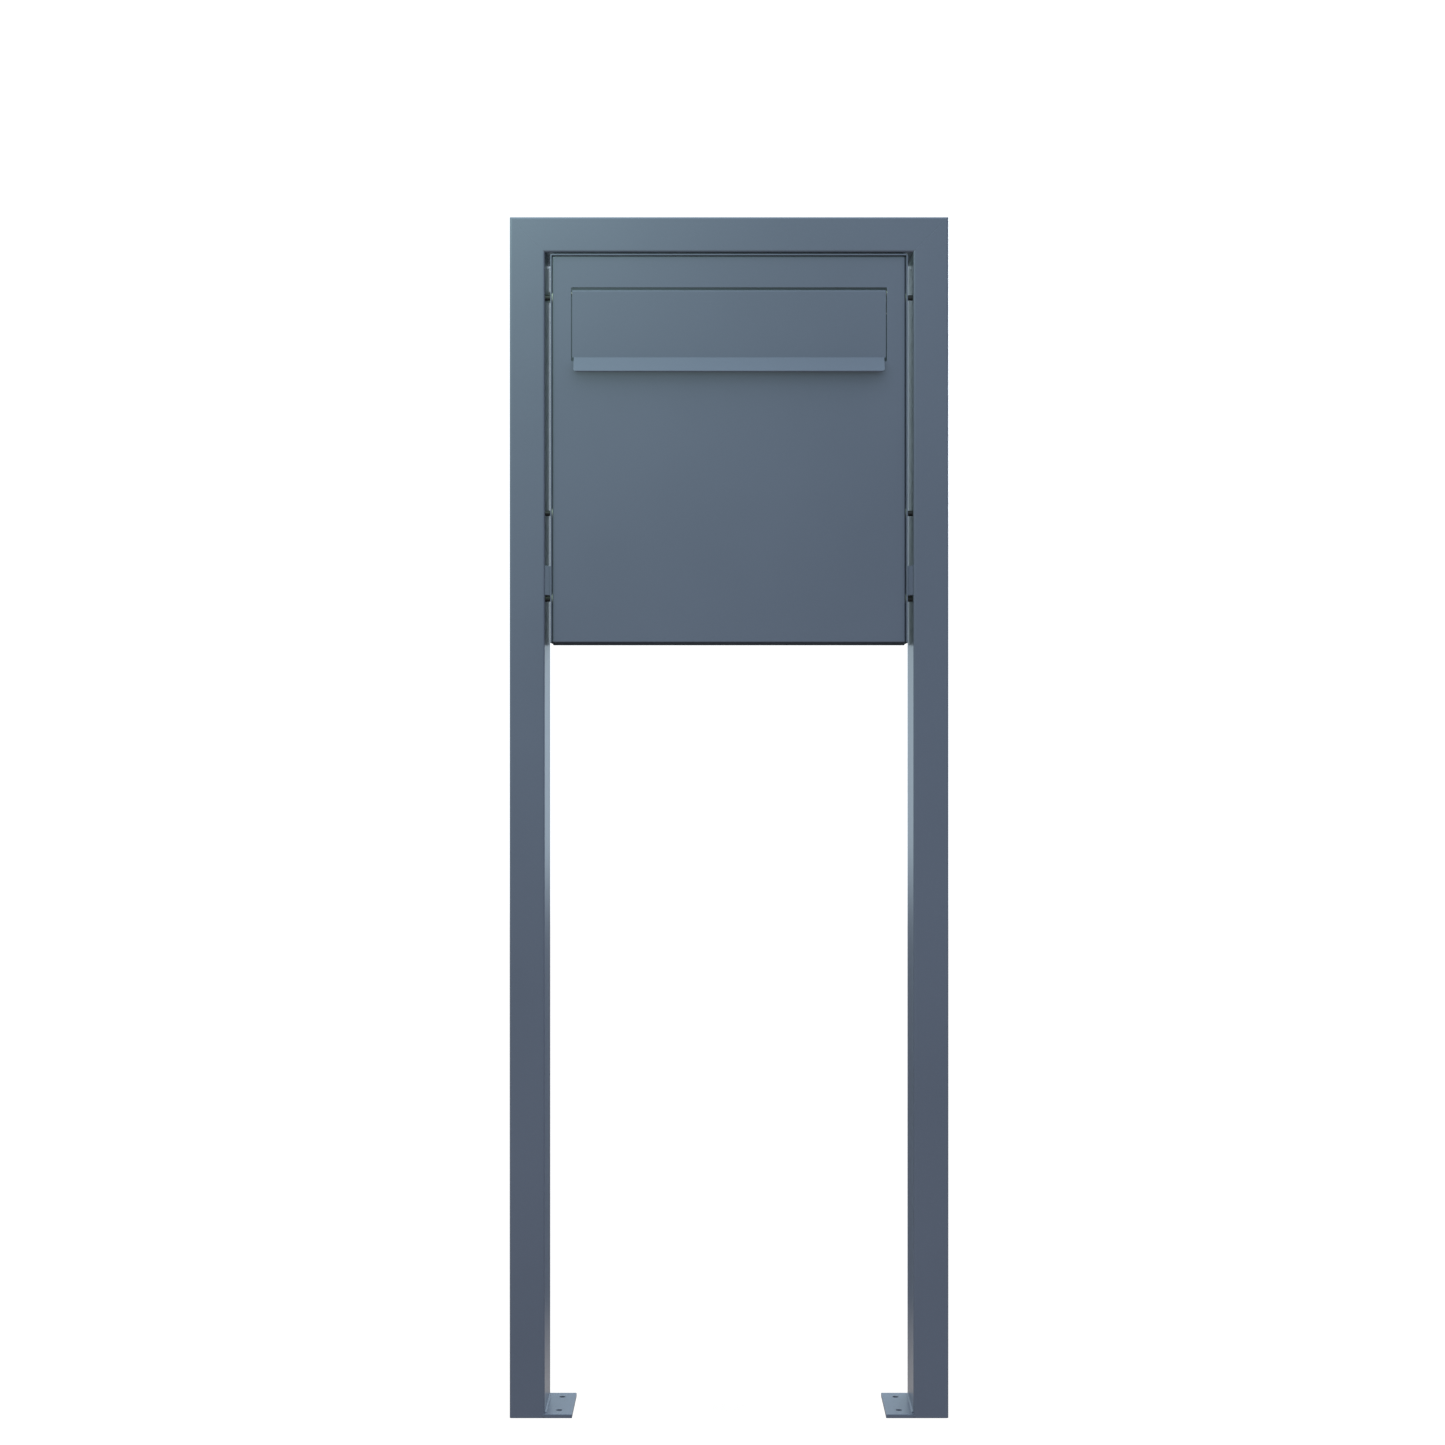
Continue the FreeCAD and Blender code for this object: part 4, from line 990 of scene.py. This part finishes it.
class LETTERBOX_OT_metals(bpy.types.Operator):
    """Finish the screws, washers, nuts, hinges, rod, rivets, spring and cam"""

    bl_idname = "letter_box.metals"
    bl_label = "Screws, hinges and rod"

    def execute(self, context):
        put_material(nodes_of_slot("black_steel"), black_zinc_plate("black_zinc_plate"))
        put_material(nodes_of_slot("zinc_steel"), bright_zinc_plate("bright_zinc_plate"))
        put_material(nodes_of_slot("stainless"), brushed_stainless("brushed_stainless_steel"))
        return {"FINISHED"}


class LETTERBOX_OT_lock(bpy.types.Operator):
    """Finish the lock's head and plug"""

    bl_idname = "letter_box.lock"
    bl_label = "Lock"

    def execute(self, context):
        put_material(nodes_of_slot("lock_chrome"), turned_satin_chrome("turned_satin_chrome"))
        return {"FINISHED"}


class LETTERBOX_OT_foot_welds(bpy.types.Operator):
    """Lay a weld bead where each base plate meets its post"""

    bl_idname = "letter_box.foot_welds"
    bl_label = "Foot welds"

    def execute(self, context):
        leg = sizes().foot_weld_leg
        paint = frame["nodes"]["left_base_plate"].material_slots[0].material
        for side, plate in ((-1, "left_base_plate"), (1, "right_base_plate")):
            low, high = node_span(plate)
            post_face = low[0] if side < 0 else high[0]
            start = (post_face, low[1] + sizes().weld_from_front, high[2])
            end = (post_face, high[1] - sizes().weld_from_front, high[2])
            welds = [weld_bead(f"{plate}_weld", start, end, (-side, 0.0, 0.0), (0.0, 0.0, 1.0), leg)]
            for place, depth, y in (("front", -1, low[1]), ("rear", 1, high[1])):
                corner = (post_face, y)
                welds.append(ground_weld(f"{plate}_{place}_ground_weld", corner, (-side, depth), high[2]))
            for weld in welds:
                put_material([weld], paint)
                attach(weld, "stand")
        return {"FINISHED"}


class LETTERBOX_OT_hanger_welds(bpy.types.Operator):
    """Lay weld beads above, below and behind each hanger block"""

    bl_idname = "letter_box.hanger_welds"
    bl_label = "Hanger welds"

    def execute(self, context):
        leg = sizes().hanger_weld_leg
        paint = frame["nodes"]["left_hanger"].material_slots[0].material
        for side, hanger in ((-1, "left_hanger"), (1, "right_hanger")):
            low, high = node_span(hanger)
            post_face = low[0] if side < 0 else high[0]
            inward = (-side, 0.0, 0.0)
            front, back = low[1] + 2 * leg, high[1] - 2 * leg
            bottom, top = low[2] + 2 * leg, high[2] - 2 * leg
            behind_spacers = node_span("gap_spacers")[1][1] + leg
            runs = {
                "top": ((front, high[2]), (back, high[2]), (0.0, 0.0, 1.0)),
                "bottom": ((behind_spacers, low[2]), (back, low[2]), (0.0, 0.0, -1.0)),
                "rear": ((high[1], bottom), (high[1], top), (0.0, 1.0, 0.0)),
            }
            for place, (start, end, away) in runs.items():
                name = f"{hanger}_{place}_weld"
                bead = weld_bead(name, (post_face, *start), (post_face, *end), inward, away, leg)
                put_material([bead], paint)
                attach(bead, "stand")
        return {"FINISHED"}


class LETTERBOX_OT_door_seal(bpy.types.Operator):
    """Lay a ribbed foam seal round the rear of the casing"""

    bl_idname = "letter_box.door_seal"
    bl_label = "Door seal"

    def execute(self, context):
        seal = ribbed_seal("ribbed_door_seal", "door_seal", sizes().seal_ribs)
        put_material([seal], matt_rubber("foam_rubber_seal"))
        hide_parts("door_seal")
        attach(seal, "stand")
        return {"FINISHED"}


PIECE_OPERATORS = (
    LETTERBOX_OT_studio,
    LETTERBOX_OT_paint_frame,
    LETTERBOX_OT_paint_casing,
    LETTERBOX_OT_plastics,
    LETTERBOX_OT_metals,
    LETTERBOX_OT_lock,
    LETTERBOX_OT_foot_welds,
    LETTERBOX_OT_hanger_welds,
    LETTERBOX_OT_door_seal,
)


class LETTERBOX_PT_panel(bpy.types.Panel):
    """Sizes, colours and pieces of the letter box"""

    bl_label = "Letter box"
    bl_idname = "LETTERBOX_PT_panel"
    bl_space_type = "VIEW_3D"
    bl_region_type = "UI"
    bl_category = "Letter box"

    def draw(self, context):
        for operator in PIECE_OPERATORS:
            self.layout.operator(operator.bl_idname)
        for group in (sizes(), colours()):
            box = self.layout.box()
            for name in type(group).__annotations__:
                box.prop(group, name)


CLASSES = (LetterBoxSizes, LetterBoxColours, *PIECE_OPERATORS, LETTERBOX_PT_panel)


def register():
    """Adds the classes and the scene's settings."""
    for cls in CLASSES:
        bpy.utils.register_class(cls)
    bpy.types.Scene.letter_box_sizes = bpy.props.PointerProperty(type=LetterBoxSizes)
    bpy.types.Scene.letter_box_colours = bpy.props.PointerProperty(type=LetterBoxColours)


def unregister():
    """Takes the settings and the classes away."""
    del bpy.types.Scene.letter_box_colours
    del bpy.types.Scene.letter_box_sizes
    for cls in reversed(CLASSES):
        bpy.utils.unregister_class(cls)


def main():
    """Builds everything in order."""
    register()
    for operator in PIECE_OPERATORS:
        group, name = operator.bl_idname.split(".")
        getattr(getattr(bpy.ops, group), name)()


if __name__ == "__main__":
    main()
